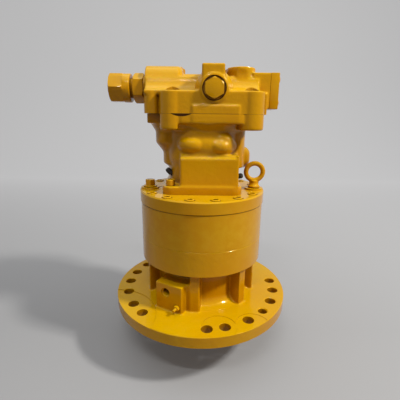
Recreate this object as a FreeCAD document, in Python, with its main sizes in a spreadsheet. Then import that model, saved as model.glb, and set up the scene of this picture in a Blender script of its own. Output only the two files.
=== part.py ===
import FreeCAD, Part
import math
import os
import re

import Sketcher
from FreeCAD import Placement, Rotation, Vector

# Swing gearbox: a two stage planetary reduction in a flanged case, an axial
# piston motor on top and an output pinion below the mounting flange.
# Millimetres. The origin is the centre of the mounting flange's underside, and
# +Z runs up the shaft axis towards the motor. -Y is the side of the round plug.

doc = FreeCAD.newDocument("swing_gearbox")

SIZES = {
    "fits": {
        "snug": 0.05, "running": 0.12, "backlash": 0.25, "gear_gap": 1.0,
    },
    "lower case": {
        "flange_radius": 190, "flange_thickness": 24,
        "spigot_radius": 115, "spigot_depth": 8,
        "bolt_circle": 165.5, "bolt_hole": 11, "jack_hole": 8.75, "jack_angle": -40.9,
        "neck_radius": 95, "neck_fillet": 22, "band_radius": 130, "band_height": 106,
        "band_chamfer": 4, "joint_height": 158, "chamber_radius": 102, "chamber_floor": 132,
        "land_radius": 62, "rib_reach": 119, "rib_width": 20,
        "boss_angle": -118, "boss_reach": 130, "boss_width": 61, "boss_height": 82.5,
        "boss_shift": -3.6, "case_port_radius": 7.5, "case_port_depth": 18, "case_port_drill": 4, "case_port_height": 63, "case_port_side": -10.5,
        "nipple_hole_radius": 4, "nipple_hole_height": 37.3, "nipple_hole_side": 16.8,
        "nipple_hole_depth": 14, "spot_depth": 0.6,
    },
    "case screws": {
        "case_screw_radius": 6, "case_screw_circle": 117, "case_screw_head": 9,
        "case_screw_head_height": 12, "case_screw_recess": 10, "case_thread_depth": 26,
    },
    "ring gear": {
        "gear_module": 3.5, "ring_teeth": 57, "ring_height": 71.5,
        "seal_circle": 107.2, "seal_section": 1.7, "seal_groove": 3.5,
    },
    "cover plate": {
        "cover_radius": 131.5, "cover_thickness": 25.5, "cover_recess_radius": 100,
        "cover_recess": 6, "cover_bore": 26, "pilot_radius": 62.5, "pilot_depth": 6,
        "cover_chamfer": 2.5, "lift_circle": 110.5, "lift_boss_radius": 19, "lift_boss_height": 4,
        "eye_angle": -8.7, "lift_plug_angle": -170.2, "lift_thread": 5, "lift_thread_depth": 17,
    },
    "output stage": {
        "sun_two_teeth": 21, "planet_two_teeth": 18, "planet_two_bottom": 162.2, "planet_two_width": 30,
        "planet_two_bore": 21, "pin_two_radius": 13.8, "pin_two_head": 20,
        "roller_two_radius": 3.5, "carrier_two_radius": 92, "carrier_two_bottom": 143,
        "carrier_two_thickness": 17, "washer_thickness": 2, "pin_head_height": 2.5,
        "sun_two_hub": 29,
    },
    "input stage": {
        "sun_one_teeth": 15, "planet_one_teeth": 21, "planet_one_bottom": 212.5,
        "planet_one_width": 15.5, "planet_one_bore": 21, "pin_one_radius": 11.8, "pin_one_head": 19,
        "roller_one_radius": 4.5, "carrier_one_radius": 92, "carrier_one_bottom": 198,
        "carrier_one_thickness": 12, "sun_one_hub": 19.5, "sun_one_hub_top": 243,
    },
    "output shaft": {
        "pinion_module": 8, "pinion_teeth": 13, "pinion_bottom": -100, "pinion_width": 72,
        "journal_radius": 45, "lower_seat": 40, "upper_seat": 35, "shaft_middle": 38,
        "spline_radius": 33, "shaft_top": 159.5, "shaft_nut_radius": 49, "shaft_nut_height": 10,
        "output_seal_bottom": 2, "output_seal_height": 14,
    },
    "lower bearing": {
        "lower_bearing_bottom": 20, "lower_bearing_width": 35, "lower_bearing_outer": 70,
        "lower_roller_circle": 55, "lower_roller_radius": 6.8, "lower_roller_length": 22,
        "lower_roller_count": 22,
    },
    "upper bearing": {
        "upper_bearing_bottom": 94, "upper_bearing_width": 38, "upper_bearing_outer": 75,
        "upper_roller_circle": 54.5, "upper_roller_radius": 8, "upper_roller_length": 24,
        "upper_roller_count": 18, "race_tilt": 12, "roller_taper": 2, "race_rib": 3,
    },
    "motor casing": {
        "casing_joint": 406, "motor_flange_half": 78, "motor_flange_height": 16,
        "motor_corner": 20, "body_radius": 68, "body_neck": 73.5,
        "top_flange_bottom": 388, "top_flange_left": -108, "ear_radius": 24, "ear_bottom": 377,
        "ear_left": -57, "ear_right": 89, "ear_depth": 58, "side_depth": 40,
        "flange_depth": 78, "front_depth": 82, "pad_left": -20, "pad_right": 65.5,
        "scoop_middle": -39.5, "scoop_radius": 40, "scoop_rise": 35, "scoop_depth": 71,
        "block_left": -43, "block_right": 70, "block_depth": 76, "block_top": 331,
        "lobe_low": -44, "lobe_low_radius": 38, "lobe_low_bottom": 308, "lobe_low_top": 332,
        "lobe_high": -55, "lobe_high_radius": 42, "lobe_high_bottom": 350, "lobe_high_top": 372,
        "right_lobe": 48, "right_lobe_radius": 40, "right_lobe_bottom": 300,
        "cavity_low": 58, "cavity_high": 66.5, "cavity_floor": 296, "brake_shelf": 352,
        "seal_seat_radius": 31, "seal_seat_bottom": 258, "seal_seat_height": 11,
        "shaft_bore": 24, "bulge_radius": 25, "bulge_left": -14, "bulge_right": 37, "bulge_depth": 51,
        "bulge_height": 350, "side_boss": 84, "side_boss_radius": 17, "side_boss_back": 5,
        "side_boss_low": 314, "side_boss_high": 326,
        "motor_screw_spread": 62, "motor_screw_radius": 6, "motor_screw_head": 9,
        "motor_screw_head_height": 12, "motor_screw_bite": 15,
    },
    "front bearing": {
        "ball_radius": 7.5, "ball_circle": 32.5, "ball_count": 9, "front_bearing_outer": 45,
        "front_bearing_bottom": 272, "front_bearing_width": 23, "inner_ring_radius": 27.5,
        "outer_ring_radius": 37.5,
    },
    "motor shaft": {
        "motor_shaft_radius": 20, "motor_shaft_bottom": 211.5, "drive_spline": 14,
        "drive_spline_top": 248, "shaft_collar_radius": 23.5, "shaft_collar_top": 299,
        "rear_journal": 15, "rear_journal_bottom": 399, "motor_shaft_top": 428,
        "shaft_seal_bottom": 258, "shaft_seal_height": 10,
    },
    "swash plate": {
        "swash_tilt": 15, "swash_height": 316, "swash_outer": 51, "swash_bore": 29,
    },
    "cylinder block": {
        "block_radius": 53, "block_bottom": 346, "block_face": 398, "piston_circle": 36,
        "piston_radius": 10, "piston_count": 9, "piston_top": 384, "bore_top": 390,
        "shoe_radius": 10.8, "shoe_bottom": 329.8, "shoe_foot": 3.2, "shoe_height": 9.6,
        "shoe_cup": 9, "ball_end": 6.8, "ball_end_height": 337.5, "piston_neck": 4.8,
        "retainer_thickness": 2.4, "retainer_outer": 50, "retainer_inner": 24,
        "valve_plate_outer": 50, "valve_plate_inner": 24, "valve_plate_port": 6,
        "valve_plate_gap": 0.2,
    },
    "brake": {
        "plate_pitch": 5.6, "steel_plate": 2.5, "friction_plate": 2.8, "plate_gap": 0.15,
        "steel_plate_clearance": 3, "friction_plate_clearance": 4.5, "brake_piston_clearance": 2,
        "piston_lift": 0.2, "spring_height": 6.8, "spring_thickness": 2.3, "spring_seat": 0.1,
        "brake_release": 2,
    },
    "valve cover": {
        "cover_right": 122, "block_end": 127, "shelf_rise": 40, "cover_depth": 79.5,
        "cover_back": 76, "rear_back": 78, "port_rise": 49, "hump_rise": 56.8,
        "left_hump_radius": 34, "left_hump_end": -48, "cover_left_face": -112,
        "boss_left": -3.3, "boss_right": 37.5, "boss_rise": 85, "boss_back": 20,
        "dome_middle": 73, "dome_radius": 28, "dome_back": -8, "dome_rise": 87, "step_radius": 28,
        "ramp_foot": -72, "ramp_bend": -40, "ramp_bend_rise": 55.5, "ramp_top": -32, "ramp_top_rise": 69,
        "rear_rise": 64, "rear_front": 8, "cover_screw_radius": 7, "cover_screw_head": 10.5,
        "cover_screw_recess": 13, "cover_screw_recess_depth": 14, "cover_screw_bite": 26,
        "cover_screw_head_height": 13,
        "rear_bore": 22.5, "rear_bore_depth": 24, "needle_radius": 1.9, "needle_count": 24,
        "rear_bearing_gap": 1.5, "rear_bearing_width": 20, "pad_rise": 15,
    },
    "ports": {
        "plug_middle": 19, "plug_rise": 43.5, "plug_flats": 32, "plug_recess_radius": 21.4,
        "plug_recess": 4, "plug_head": 11, "plug_stem": 13, "plug_stem_length": 22,
        "rear_port_radius": 9.5, "rear_port_depth": 34, "rear_port_left": -24, "rear_port_right": 46,
        "rear_port_rise": 32, "rear_port_span_x": 22.2, "rear_port_span_z": 47.6,
        "rear_port_thread": 5, "rear_port_thread_depth": 20,
        "relief_left": -53, "relief_right": 60, "relief_back": 26, "relief_flats": 27,
        "relief_head": 26, "relief_stem": 11, "relief_stem_length": 18,
    },
    "end plate": {
        "plate_thickness": 17, "plate_half_width": 33, "plate_bottom_rise": 11, "plate_top_rise": 77,
        "plate_screw_radius": 4, "plate_screw_head": 6.5, "plate_screw_y": 23,
        "plate_screw_low_rise": 23, "plate_screw_high_rise": 65, "plate_screw_bite": 14,
        "plate_screw_head_height": 8, "plate_screw_recess": 6,
    },
    "side fitting": {
        "adapter_stem": 17, "adapter_stem_length": 20, "adapter_collar": 23, "adapter_collar_width": 5,
        "adapter_flats": 50, "adapter_hex_width": 20, "adapter_neck": 19, "adapter_bore": 12,
        "nut_right": -143, "nut_left": -184, "nut_step": -156, "nut_flats": 52, "nut_round": 27.5,
        "nut_thread": 20.8, "nut_thread_end": -161, "nut_groove": 21.2, "nut_clearance": 0.4,
        "adapter_lip": 20.6, "adapter_lip_width": 3, "adapter_end": -160.4,
    },
    "eye bolt": {
        "eye_outer": 22.5, "eye_inner": 12.5, "eye_height": 37, "eye_collar": 12.5,
        "eye_collar_height": 6, "eye_neck": 8,
    },
    "lift plug": {
        "lift_plug_flats": 19, "lift_plug_head": 15, "lift_plug_flange": 14,
        "lift_plug_flange_height": 3,
    },
    "small ports": {
        "cap_radius": 5.5, "cap_length": 13, "cap_stub_radius": 3.6, "cap_stub_length": 6,
        "nipple_radius": 3.9, "nipple_flats": 11, "nipple_hex": 6, "nipple_tip": 3.2,
        "nipple_tip_length": 8,
    },
}

# Sizes that follow from other sizes: the valve cover stands on the casing's joint,
# the brake's piston fills what its plates and springs leave, and the brake's rings
# keep clear of the block inside them or of the casing round them.
FOLLOWING = {
    "heights": {
        "shelf_height": "=casing_joint + shelf_rise",
        "port_axis": "=casing_joint + port_rise",
        "hump_axis": "=casing_joint + hump_rise",
        "boss_top": "=casing_joint + boss_rise",
        "dome_top": "=casing_joint + dome_rise",
        "rear_top": "=casing_joint + rear_rise",
        "pad_top": "=casing_joint + pad_rise",
        "plug_height": "=casing_joint + plug_rise",
        "rear_bore_top": "=casing_joint + rear_bore_depth",
        "rear_bearing_bottom": "=casing_joint + rear_bearing_gap",
        "rear_port_height": "=casing_joint + rear_port_rise",
        "plate_bottom": "=casing_joint + plate_bottom_rise",
        "plate_top": "=casing_joint + plate_top_rise",
        "plate_screw_low": "=casing_joint + plate_screw_low_rise",
        "plate_screw_high": "=casing_joint + plate_screw_high_rise",
        "brake_piston_bottom": "=brake_shelf + 3 * plate_pitch + steel_plate + piston_lift",
        "brake_piston_height":
            "=casing_joint - 0.15 - 2 * spring_height - snug - 2 * spring_seat - brake_piston_bottom",
    },
    "brake rings": {
        "steel_plate_inner": "=block_radius + steel_plate_clearance",
        "friction_plate_outer": "=cavity_high - friction_plate_clearance",
        "brake_piston_inner": "=block_radius + brake_piston_clearance",
    },
}

# The sheet of driving sizes. Every piece below reads its sizes from it.
sheet = doc.addObject("Spreadsheet::Sheet", "Sizes")
aliases = set()
row = 1
for group_name, group_values in list(SIZES.items()) + list(FOLLOWING.items()):
    sheet.set("A%d" % row, group_name)
    row += 1
    for alias, value in group_values.items():
        sheet.set("A%d" % row, alias.replace("_", " "))
        sheet.set("B%d" % row, str(value))
        sheet.setAlias("B%d" % row, alias)
        aliases.add(alias)
        row += 1
doc.recompute()

UP = Vector(0, 0, 1)
TO_RIGHT = Rotation(Vector(0, 1, 0), 90)
TO_LEFT = Rotation(Vector(0, 1, 0), -90)
TO_FRONT = Rotation(Vector(1, 0, 0), 90)
TO_BACK = Rotation(Vector(1, 0, 0), -90)
nodes = []


def formula(text):
    """A sheet formula from words: each alias is read from the sheet."""
    def read(match):
        word = match.group(0)
        return "Sizes." + word if word in aliases else word
    return re.sub(r"[a-z][a-z_0-9]*", read, str(text))


def size(text):
    """The present value of a sheet formula."""
    return float(sheet.evalExpression(formula(text)))


def place(thing, at, turn=Rotation()):
    """Put a primitive at a point given by three sheet formulas."""
    thing.Placement = Placement(Vector(*[size(value) for value in at]), turn)
    for axis, value in zip("xyz", at):
        thing.setExpression("Placement.Base." + axis, formula(value))
    return thing


def keep(thing, label):
    """Name a finished sub-part."""
    thing.Label = label
    nodes.append(thing)
    return thing


def cylinder(radius, length, at, turn=Rotation()):
    thing = doc.addObject("Part::Cylinder", "round")
    thing.setExpression("Radius", formula(radius))
    thing.setExpression("Height", formula(length))
    return place(thing, at, turn)


def cone(start_radius, end_radius, length, at, turn=Rotation()):
    thing = doc.addObject("Part::Cone", "taper")
    thing.setExpression("Radius1", formula(start_radius))
    thing.setExpression("Radius2", formula(end_radius))
    thing.setExpression("Height", formula(length))
    return place(thing, at, turn)


def box(low, high):
    """A block between two corners, each given by three sheet formulas."""
    thing = doc.addObject("Part::Box", "block")
    for side, first, last in zip(("Length", "Width", "Height"), low, high):
        thing.setExpression(side, formula("(%s) - (%s)" % (last, first)))
    return place(thing, low)


def hexagon(flats, length, at, turn=Rotation(), corner_up=False):
    """A hexagonal prism: its size is given across flats."""
    thing = doc.addObject("Part::Prism", "hexagon")
    thing.Polygon = 6
    thing.setExpression("Circumradius", formula("(%s) / 2 / cos(30)" % flats))
    thing.setExpression("Height", formula(length))
    spin = Rotation(UP, 30 if corner_up else 0)
    return place(thing, at, turn.multiply(spin))


def spoke(angle, inner, outer, width, bottom, top, shift="0"):
    """A block that points away from the shaft axis at an angle."""
    thing = doc.addObject("Part::Box", "spoke")
    side = "((%s) - (%s) / 2)" % (shift, width)
    thing.setExpression("Length", formula("(%s) - (%s)" % (outer, inner)))
    thing.setExpression("Width", formula(width))
    thing.setExpression("Height", formula("(%s) - (%s)" % (top, bottom)))
    corner = (
        "(%s) * cos(%s) - %s * sin(%s)" % (inner, angle, side, angle),
        "(%s) * sin(%s) + %s * cos(%s)" % (inner, angle, side, angle),
        bottom,
    )
    place(thing, corner, Rotation(UP, size(angle)))
    thing.setExpression("Placement.Rotation.Angle", formula(angle))
    return thing


def fuse(pieces):
    thing = doc.addObject("Part::MultiFuse", "joined")
    thing.Shapes = pieces
    return thing


def cut(base, tools):
    thing = doc.addObject("Part::Cut", "machined")
    thing.Base = base
    thing.Tool = tools[0] if len(tools) == 1 else fuse(tools)
    return thing


def origin_plane(body, role):
    return [item for item in body.Origin.OriginFeatures if item.Role == role][0]


def draw_outline(sketch, outline):
    """Draw a closed outline whose corners are all bound to the sheet.

    A corner is (across, up). A third value is the radius of an arc that arrives
    at the corner, positive when the arc's centre lies to the left of the way.
    """
    points = [Vector(size(corner[0]), size(corner[1]), 0) for corner in outline]
    ends = []
    for index, corner in enumerate(outline):
        first = points[index - 1]
        last = points[index]
        if len(corner) == 2:
            sketch.addGeometry(Part.LineSegment(first, last))
            ends.append((1, 2))
            continue
        radius = abs(size(corner[2]))
        on_left = size(corner[2]) > 0
        chord = last - first
        left = Vector(-chord.y, chord.x, 0).normalize()
        reach = math.sqrt(max(radius ** 2 - (chord.Length / 2) ** 2, 0))
        centre = (first + last) * 0.5 + left * (reach if on_left else -reach)
        # Arcs always run anticlockwise, so the ends change places on a hollow one.
        begin, finish = (first, last) if on_left else (last, first)
        begin_angle = math.atan2(begin.y - centre.y, begin.x - centre.x)
        finish_angle = math.atan2(finish.y - centre.y, finish.x - centre.x)
        sketch.addGeometry(Part.ArcOfCircle(Part.Circle(centre, UP, radius), begin_angle, finish_angle))
        ends.append((1, 2) if on_left else (2, 1))
    for index, corner in enumerate(outline):
        following = (index + 1) % len(outline)
        sketch.addConstraint(Sketcher.Constraint(
            "Coincident", index, ends[index][1], following, ends[following][0]))
        for kind, value, mark in (("DistanceX", corner[0], "x"), ("DistanceY", corner[1], "y")):
            number = sketch.addConstraint(
                Sketcher.Constraint(kind, -1, 1, index, ends[index][1], size(value)))
            sketch.renameConstraint(number, "%s%d" % (mark, index))
            sketch.setExpression("Constraints.%s%d" % (mark, index), formula(value))
        if len(corner) == 3:
            number = sketch.addConstraint(Sketcher.Constraint("Radius", index, abs(size(corner[2]))))
            sketch.renameConstraint(number, "r%d" % index)
            sketch.setExpression("Constraints.r%d" % index, formula("abs(%s)" % corner[2]))


def turned(label, outline):
    """A turned piece: an outline of radii and heights, turned about the shaft axis."""
    body = doc.addObject("PartDesign::Body", label)
    sketch = body.newObject("Sketcher::SketchObject", label + "_outline")
    sketch.AttachmentSupport = (origin_plane(body, "XZ_Plane"), "")
    sketch.MapMode = "FlatFace"
    draw_outline(sketch, outline)
    turning = body.newObject("PartDesign::Revolution", label + "_turning")
    turning.Profile = sketch
    turning.ReferenceAxis = (sketch, ["V_Axis"])
    turning.Angle = 360
    return body


def drill(body, radius, across, along, top, depth, copies="1"):
    """Holes down into a body from a height, repeated around the shaft axis."""
    name = body.Name + "_hole"
    sketch = body.newObject("Sketcher::SketchObject", name)
    sketch.AttachmentSupport = (origin_plane(body, "XY_Plane"), "")
    sketch.MapMode = "FlatFace"
    sketch.setExpression(".AttachmentOffset.Base.z", formula(top))
    sketch.addGeometry(Part.Circle(Vector(size(across), size(along), 0), UP, size(radius)))
    for kind, value in (("DistanceX", across), ("DistanceY", along)):
        number = sketch.addConstraint(Sketcher.Constraint(kind, -1, 1, 0, 3, size(value)))
        sketch.renameConstraint(number, kind)
        sketch.setExpression("Constraints." + kind, formula(value))
    number = sketch.addConstraint(Sketcher.Constraint("Radius", 0, size(radius)))
    sketch.renameConstraint(number, "hole_radius")
    sketch.setExpression("Constraints.hole_radius", formula(radius))
    pocket = body.newObject("PartDesign::Pocket", name + "_cut")
    pocket.Profile = sketch
    pocket.setExpression("Length", formula(depth))
    if size(copies) > 1:
        pattern = body.newObject("PartDesign::PolarPattern", name + "_pattern")
        pattern.Originals = [pocket]
        pattern.Axis = (sketch, ["N_Axis"])
        pattern.Angle = 360
        pattern.setExpression("Occurrences", formula(copies))
        body.Tip = pattern
    return body


def copies_of(label, sample, placements):
    """Identical pieces that share one node, each a solid of its own."""
    doc.recompute()
    thing = doc.addObject("Part::Feature", label)
    thing.Shape = Part.makeCompound([sample.Shape.transformed(spot.toMatrix()) for spot in placements])
    return keep(thing, label)


def around(count, start=0.0):
    """Placements that turn a piece evenly about the shaft axis."""
    return [Placement(Vector(), Rotation(UP, start + 360.0 * index / count)) for index in range(count)]


def solid_feature(label, shape):
    thing = doc.addObject("Part::Feature", label)
    thing.Shape = shape
    return keep(thing, label)


# Gear teeth are true involutes at a pressure angle of 20 degrees.
PRESSURE_ANGLE = math.radians(20)


def involute(angle):
    return math.tan(angle) - angle


def gear_face(teeth, module, tip, root, thinning, first_tooth=0.0, shift=0.0):
    """A flat gear, with one tooth centred on the first_tooth angle in degrees."""
    pitch = module * teeth / 2
    base = pitch * math.cos(PRESSURE_ANGLE)
    thickness = module * (math.pi / 2 + 2 * shift * math.tan(PRESSURE_ANGLE)) - thinning
    half_at_base = thickness / (2 * pitch) + involute(PRESSURE_ANGLE)
    start = max(base, root)

    def flank_point(radius, centre, side):
        half = half_at_base - involute(math.acos(min(1.0, base / radius)))
        angle = centre + side * half
        return Vector(radius * math.cos(angle), radius * math.sin(angle), 0)

    edges = []
    step = 2 * math.pi / teeth
    for number in range(teeth):
        centre = math.radians(first_tooth) + number * step
        middle = (start + tip) / 2
        rise = [flank_point(radius, centre, -1) for radius in (start, middle, tip)]
        fall = [flank_point(radius, centre, 1) for radius in (tip, middle, start)]
        foot = math.atan2(rise[0].y, rise[0].x)
        root_rise = Vector(root * math.cos(foot), root * math.sin(foot), 0)
        foot = math.atan2(fall[2].y, fall[2].x)
        root_fall = Vector(root * math.cos(foot), root * math.sin(foot), 0)
        top = Vector(tip * math.cos(centre), tip * math.sin(centre), 0)
        valley = Vector(root * math.cos(centre + step / 2), root * math.sin(centre + step / 2), 0)
        next_start = flank_point(start, centre + step, -1)
        next_foot = math.atan2(next_start.y, next_start.x)
        next_root = Vector(root * math.cos(next_foot), root * math.sin(next_foot), 0)
        if start - root > 0.01:
            edges.append(Part.LineSegment(root_rise, rise[0]).toShape())
        edges.append(Part.Arc(*rise).toShape())
        edges.append(Part.Arc(rise[2], top, fall[0]).toShape())
        edges.append(Part.Arc(*fall).toShape())
        if start - root > 0.01:
            edges.append(Part.LineSegment(fall[2], root_fall).toShape())
        edges.append(Part.Arc(root_fall, valley, next_root).toShape())
    return Part.Face(Part.Wire(edges))


def gear_blank(teeth, first_tooth, bottom, width, bore):
    """A reduction gear: teeth with running backlash and a plain bore."""
    module = size("gear_module")
    pitch = module * teeth / 2
    face = gear_face(teeth, module, pitch + 0.92 * module, pitch - 1.25 * module,
                     size("backlash"), first_tooth)
    blank = face.extrude(Vector(0, 0, width)).cut(Part.makeCylinder(bore, width))
    blank.translate(Vector(0, 0, bottom))
    return blank


PLANETS = 3
FIRST_PLANET = 90.0
ring_teeth = int(size("ring_teeth"))


def planet_tooth(angle, teeth):
    """The angle of a tooth that meshes with a ring whose first space is at zero."""
    return angle - angle * ring_teeth / teeth


def sun_tooth(sun_teeth, planet_teeth):
    """The angle of a sun tooth that meshes with the first planet."""
    past_contact = planet_tooth(FIRST_PLANET, planet_teeth) - (FIRST_PLANET + 180)
    space = FIRST_PLANET - past_contact * planet_teeth / sun_teeth
    return space + 180.0 / sun_teeth


def planet_places(centre_distance):
    spots = []
    for number in range(PLANETS):
        angle = FIRST_PLANET + number * 360.0 / PLANETS
        spots.append((angle, Vector(centre_distance * math.cos(math.radians(angle)),
                                    centre_distance * math.sin(math.radians(angle)), 0)))
    return spots


# Lower case: a grey iron casting turned about the shaft axis. A round flange and
# a spigot below, a neck with a large foot fillet, and a band under the ring gear.
lower_seat_top = "lower_bearing_bottom + lower_bearing_width"
upper_seat_top = "upper_bearing_bottom + upper_bearing_width"
case_core = turned("case_core", [
    ("lower_bearing_outer + snug", "-spigot_depth"),
    ("spigot_radius", "-spigot_depth"),
    ("spigot_radius", "0"),
    ("flange_radius", "0"),
    ("flange_radius", "flange_thickness"),
    ("neck_radius + neck_fillet", "flange_thickness"),
    ("neck_radius", "flange_thickness + neck_fillet", "-neck_fillet"),
    ("neck_radius", "band_height - 8"),
    ("neck_radius + 8", "band_height"),
    ("band_radius - band_chamfer", "band_height"),
    ("band_radius", "band_height + band_chamfer"),
    ("band_radius", "joint_height"),
    ("seal_circle + seal_groove / 2", "joint_height"),
    ("seal_circle + seal_groove / 2", "joint_height - seal_groove"),
    ("seal_circle - seal_groove / 2", "joint_height - seal_groove"),
    ("seal_circle - seal_groove / 2", "joint_height"),
    ("chamber_radius", "joint_height"),
    ("chamber_radius", "chamber_floor"),
    ("upper_bearing_outer + snug", "chamber_floor"),
    ("upper_bearing_outer + snug", "upper_bearing_bottom"),
    ("land_radius", "upper_bearing_bottom"),
    ("land_radius", lower_seat_top),
    ("lower_bearing_outer + snug", lower_seat_top),
])
RIB_ANGLES = (-165, -96, -40.5, -9, 27, 63, 99, 145)
ribs = [
    spoke(angle, "land_radius + 25", "rib_reach", "rib_width", "flange_thickness / 2",
          "band_height + band_chamfer")
    for angle in RIB_ANGLES
]
port_boss = spoke("boss_angle", "land_radius + 25", "boss_reach", "boss_width",
                  "flange_thickness / 2", "boss_height", "boss_shift")
case_blank = fuse([case_core, port_boss] + ribs)

# The bolt holes are in three uneven groups that leave room for what stands on the flange.
LEFT_HOLES = (148.5, 164, 179, -165.2, -147.5, -134.5)
FRONT_HOLES = (-86, -74, -56.2, -26.3, -10.6, 4)
REAR_HOLES = (49, 64, 79, 92, 106)


def on_flange(angle, circle):
    return ("%s * cos(%s)" % (circle, angle), "%s * sin(%s)" % (circle, angle))


case_tools = []
for angle in LEFT_HOLES + FRONT_HOLES + REAR_HOLES:
    across, along = on_flange(angle, "bolt_circle")
    case_tools.append(cylinder("bolt_hole", "flange_thickness + 2", (across, along, "-1")))
across, along = on_flange("jack_angle", "bolt_circle")
case_tools.append(cylinder("jack_hole", "flange_thickness + 2", (across, along, "-1")))

# Shallow spot faces around three groups of bolt holes.
for across, along, radius in ((-184, -134, 97), (35, -160, 33), (99, -152, 33)):
    case_tools.append(cylinder(radius, "spot_depth * 2", (across, along, "flange_thickness - spot_depth")))

# The open oil port and the grease nipple's hole go into the flat of the square boss.
INTO_BOSS = Rotation(Vector(0, 0, 1), size("boss_angle")).multiply(TO_LEFT)


def on_boss(side, height, reach="boss_reach"):
    return ("(%s) * cos(boss_angle) - (%s) * sin(boss_angle)" % (reach, side),
            "(%s) * sin(boss_angle) + (%s) * cos(boss_angle)" % (reach, side), height)


case_tools.append(cylinder("case_port_radius", "case_port_depth + 1",
                           on_boss("case_port_side", "case_port_height", "boss_reach + 1"), INTO_BOSS))
case_tools.append(cylinder("case_port_drill", "boss_reach - land_radius + 4",
                           on_boss("case_port_side", "case_port_height", "boss_reach + 1"), INTO_BOSS))
case_tools.append(cylinder("nipple_hole_radius", "nipple_hole_depth",
                           on_boss("nipple_hole_side", "nipple_hole_height"), INTO_BOSS))

# Cover screws pass the cover and the ring gear and bite into the band. They leave
# out the places of the eye bolt and of the plug in the second lifting hole.
SCREW_ANGLES = [-147 + 23 * number for number in range(6)] + [16 + 22 * number for number in range(7)]


def case_screw_holes(bottom, top, radius="case_screw_radius + snug"):
    holes = []
    for angle in SCREW_ANGLES:
        across, along = on_flange(angle, "case_screw_circle")
        holes.append(cylinder(radius, "(%s) - (%s)" % (top, bottom), (across, along, bottom)))
    return holes


case_tools += case_screw_holes("joint_height - case_thread_depth - 2", "joint_height + 1")
keep(cut(case_blank, case_tools), "lower_case")

# Ring gear: a plain steel ring on the outside, one row of teeth for both stages inside.
ring_top = "joint_height + ring_height"
ring_module = size("gear_module")
ring_pitch = ring_module * ring_teeth / 2
ring_space = gear_face(ring_teeth, ring_module, ring_pitch + 1.25 * ring_module,
                       ring_pitch - 0.92 * ring_module, -size("backlash"))
ring_solid = Part.makeCylinder(size("band_radius"), size("ring_height"))
ring_solid = ring_solid.cut(ring_space.extrude(Vector(0, 0, size("ring_height"))))
for angle in SCREW_ANGLES:
    turn = math.radians(angle)
    spot = Vector(size("case_screw_circle") * math.cos(turn), size("case_screw_circle") * math.sin(turn), 0)
    ring_solid = ring_solid.cut(
        Part.makeCylinder(size("case_screw_radius + 0.5"), size("ring_height"), spot))
ring_solid.translate(Vector(0, 0, size("joint_height")))
solid_feature("ring_gear", ring_solid)

# Cover plate: closes the gear chamber, carries the motor and the two lifting threads.
deck = "joint_height + ring_height + cover_thickness"
cover_disc = turned("cover_disc", [
    ("cover_bore", ring_top + " + cover_recess"),
    ("cover_recess_radius", ring_top + " + cover_recess"),
    ("cover_recess_radius", ring_top),
    ("seal_circle - seal_groove / 2", ring_top),
    ("seal_circle - seal_groove / 2", ring_top + " + seal_groove"),
    ("seal_circle + seal_groove / 2", ring_top + " + seal_groove"),
    ("seal_circle + seal_groove / 2", ring_top),
    ("cover_radius", ring_top),
    ("cover_radius", deck + " - cover_chamfer"),
    ("cover_radius - cover_chamfer", deck),
    ("pilot_radius + snug", deck),
    ("pilot_radius + snug", deck + " - pilot_depth"),
    ("cover_bore", deck + " - pilot_depth"),
])
lift_bosses = []
lift_threads = []
for angle in ("eye_angle", "lift_plug_angle"):
    across, along = on_flange(angle, "lift_circle")
    lift_bosses.append(cylinder("lift_boss_radius", "lift_boss_height + 5", (across, along, deck + " - 5")))
    lift_threads.append(cylinder("lift_thread + snug", "lift_thread_depth + lift_boss_height + 1",
                                 (across, along, deck + " - lift_thread_depth")))
cover_tools = lift_threads + case_screw_holes(ring_top + " - 1", deck + " + 1", "case_screw_radius + 0.5")
cover_tools += case_screw_holes(deck + " - case_screw_recess", deck + " + 1", "case_screw_head + 0.6")
spread = "motor_screw_spread"
for across, along in ((spread, spread), ("-" + spread, spread), ("-" + spread, "-" + spread),
                      (spread, "-" + spread)):
    cover_tools.append(cylinder("motor_screw_radius + snug", "motor_screw_bite + 3",
                                (across, along, deck + " - motor_screw_bite - 2")))
keep(cut(fuse([cover_disc] + lift_bosses), cover_tools), "cover_plate")


def socket_screw(radius, head, head_height, grip, key):
    """A socket head cap screw with its head's underside at zero, pointing down."""
    shank = cylinder(radius, grip, ("0", "0", "-(%s)" % grip))
    cap = cylinder(head, head_height, ("0", "0", "0"))
    socket = hexagon(key, "(%s) * 0.6" % head_height, ("0", "0", "(%s) * 0.5" % head_height))
    return cut(fuse([shank, cap]), [socket])


case_screw = socket_screw("case_screw_radius", "case_screw_head", "case_screw_head_height",
                          "cover_thickness - case_screw_recess + ring_height + case_thread_depth",
                          "case_screw_radius * 1.6")
case_screw_spots = []
for angle in SCREW_ANGLES:
    turn = math.radians(angle)
    case_screw_spots.append(Placement(
        Vector(size("case_screw_circle") * math.cos(turn), size("case_screw_circle") * math.sin(turn),
               size(deck + " - case_screw_recess")), Rotation(UP, angle)))
copies_of("cover_screws", case_screw, case_screw_spots)

# Two rubber rings seal the case joint and the cover joint.
seal_ring = doc.addObject("Part::Torus", "seal_ring")
seal_ring.setExpression("Radius1", formula("seal_circle"))
seal_ring.setExpression("Radius2", formula("seal_section"))
copies_of("joint_seals", seal_ring, [
    Placement(Vector(0, 0, size("joint_height - seal_section - snug")), Rotation()),
    Placement(Vector(0, 0, size(ring_top + " + seal_section + snug")), Rotation()),
])


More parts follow.
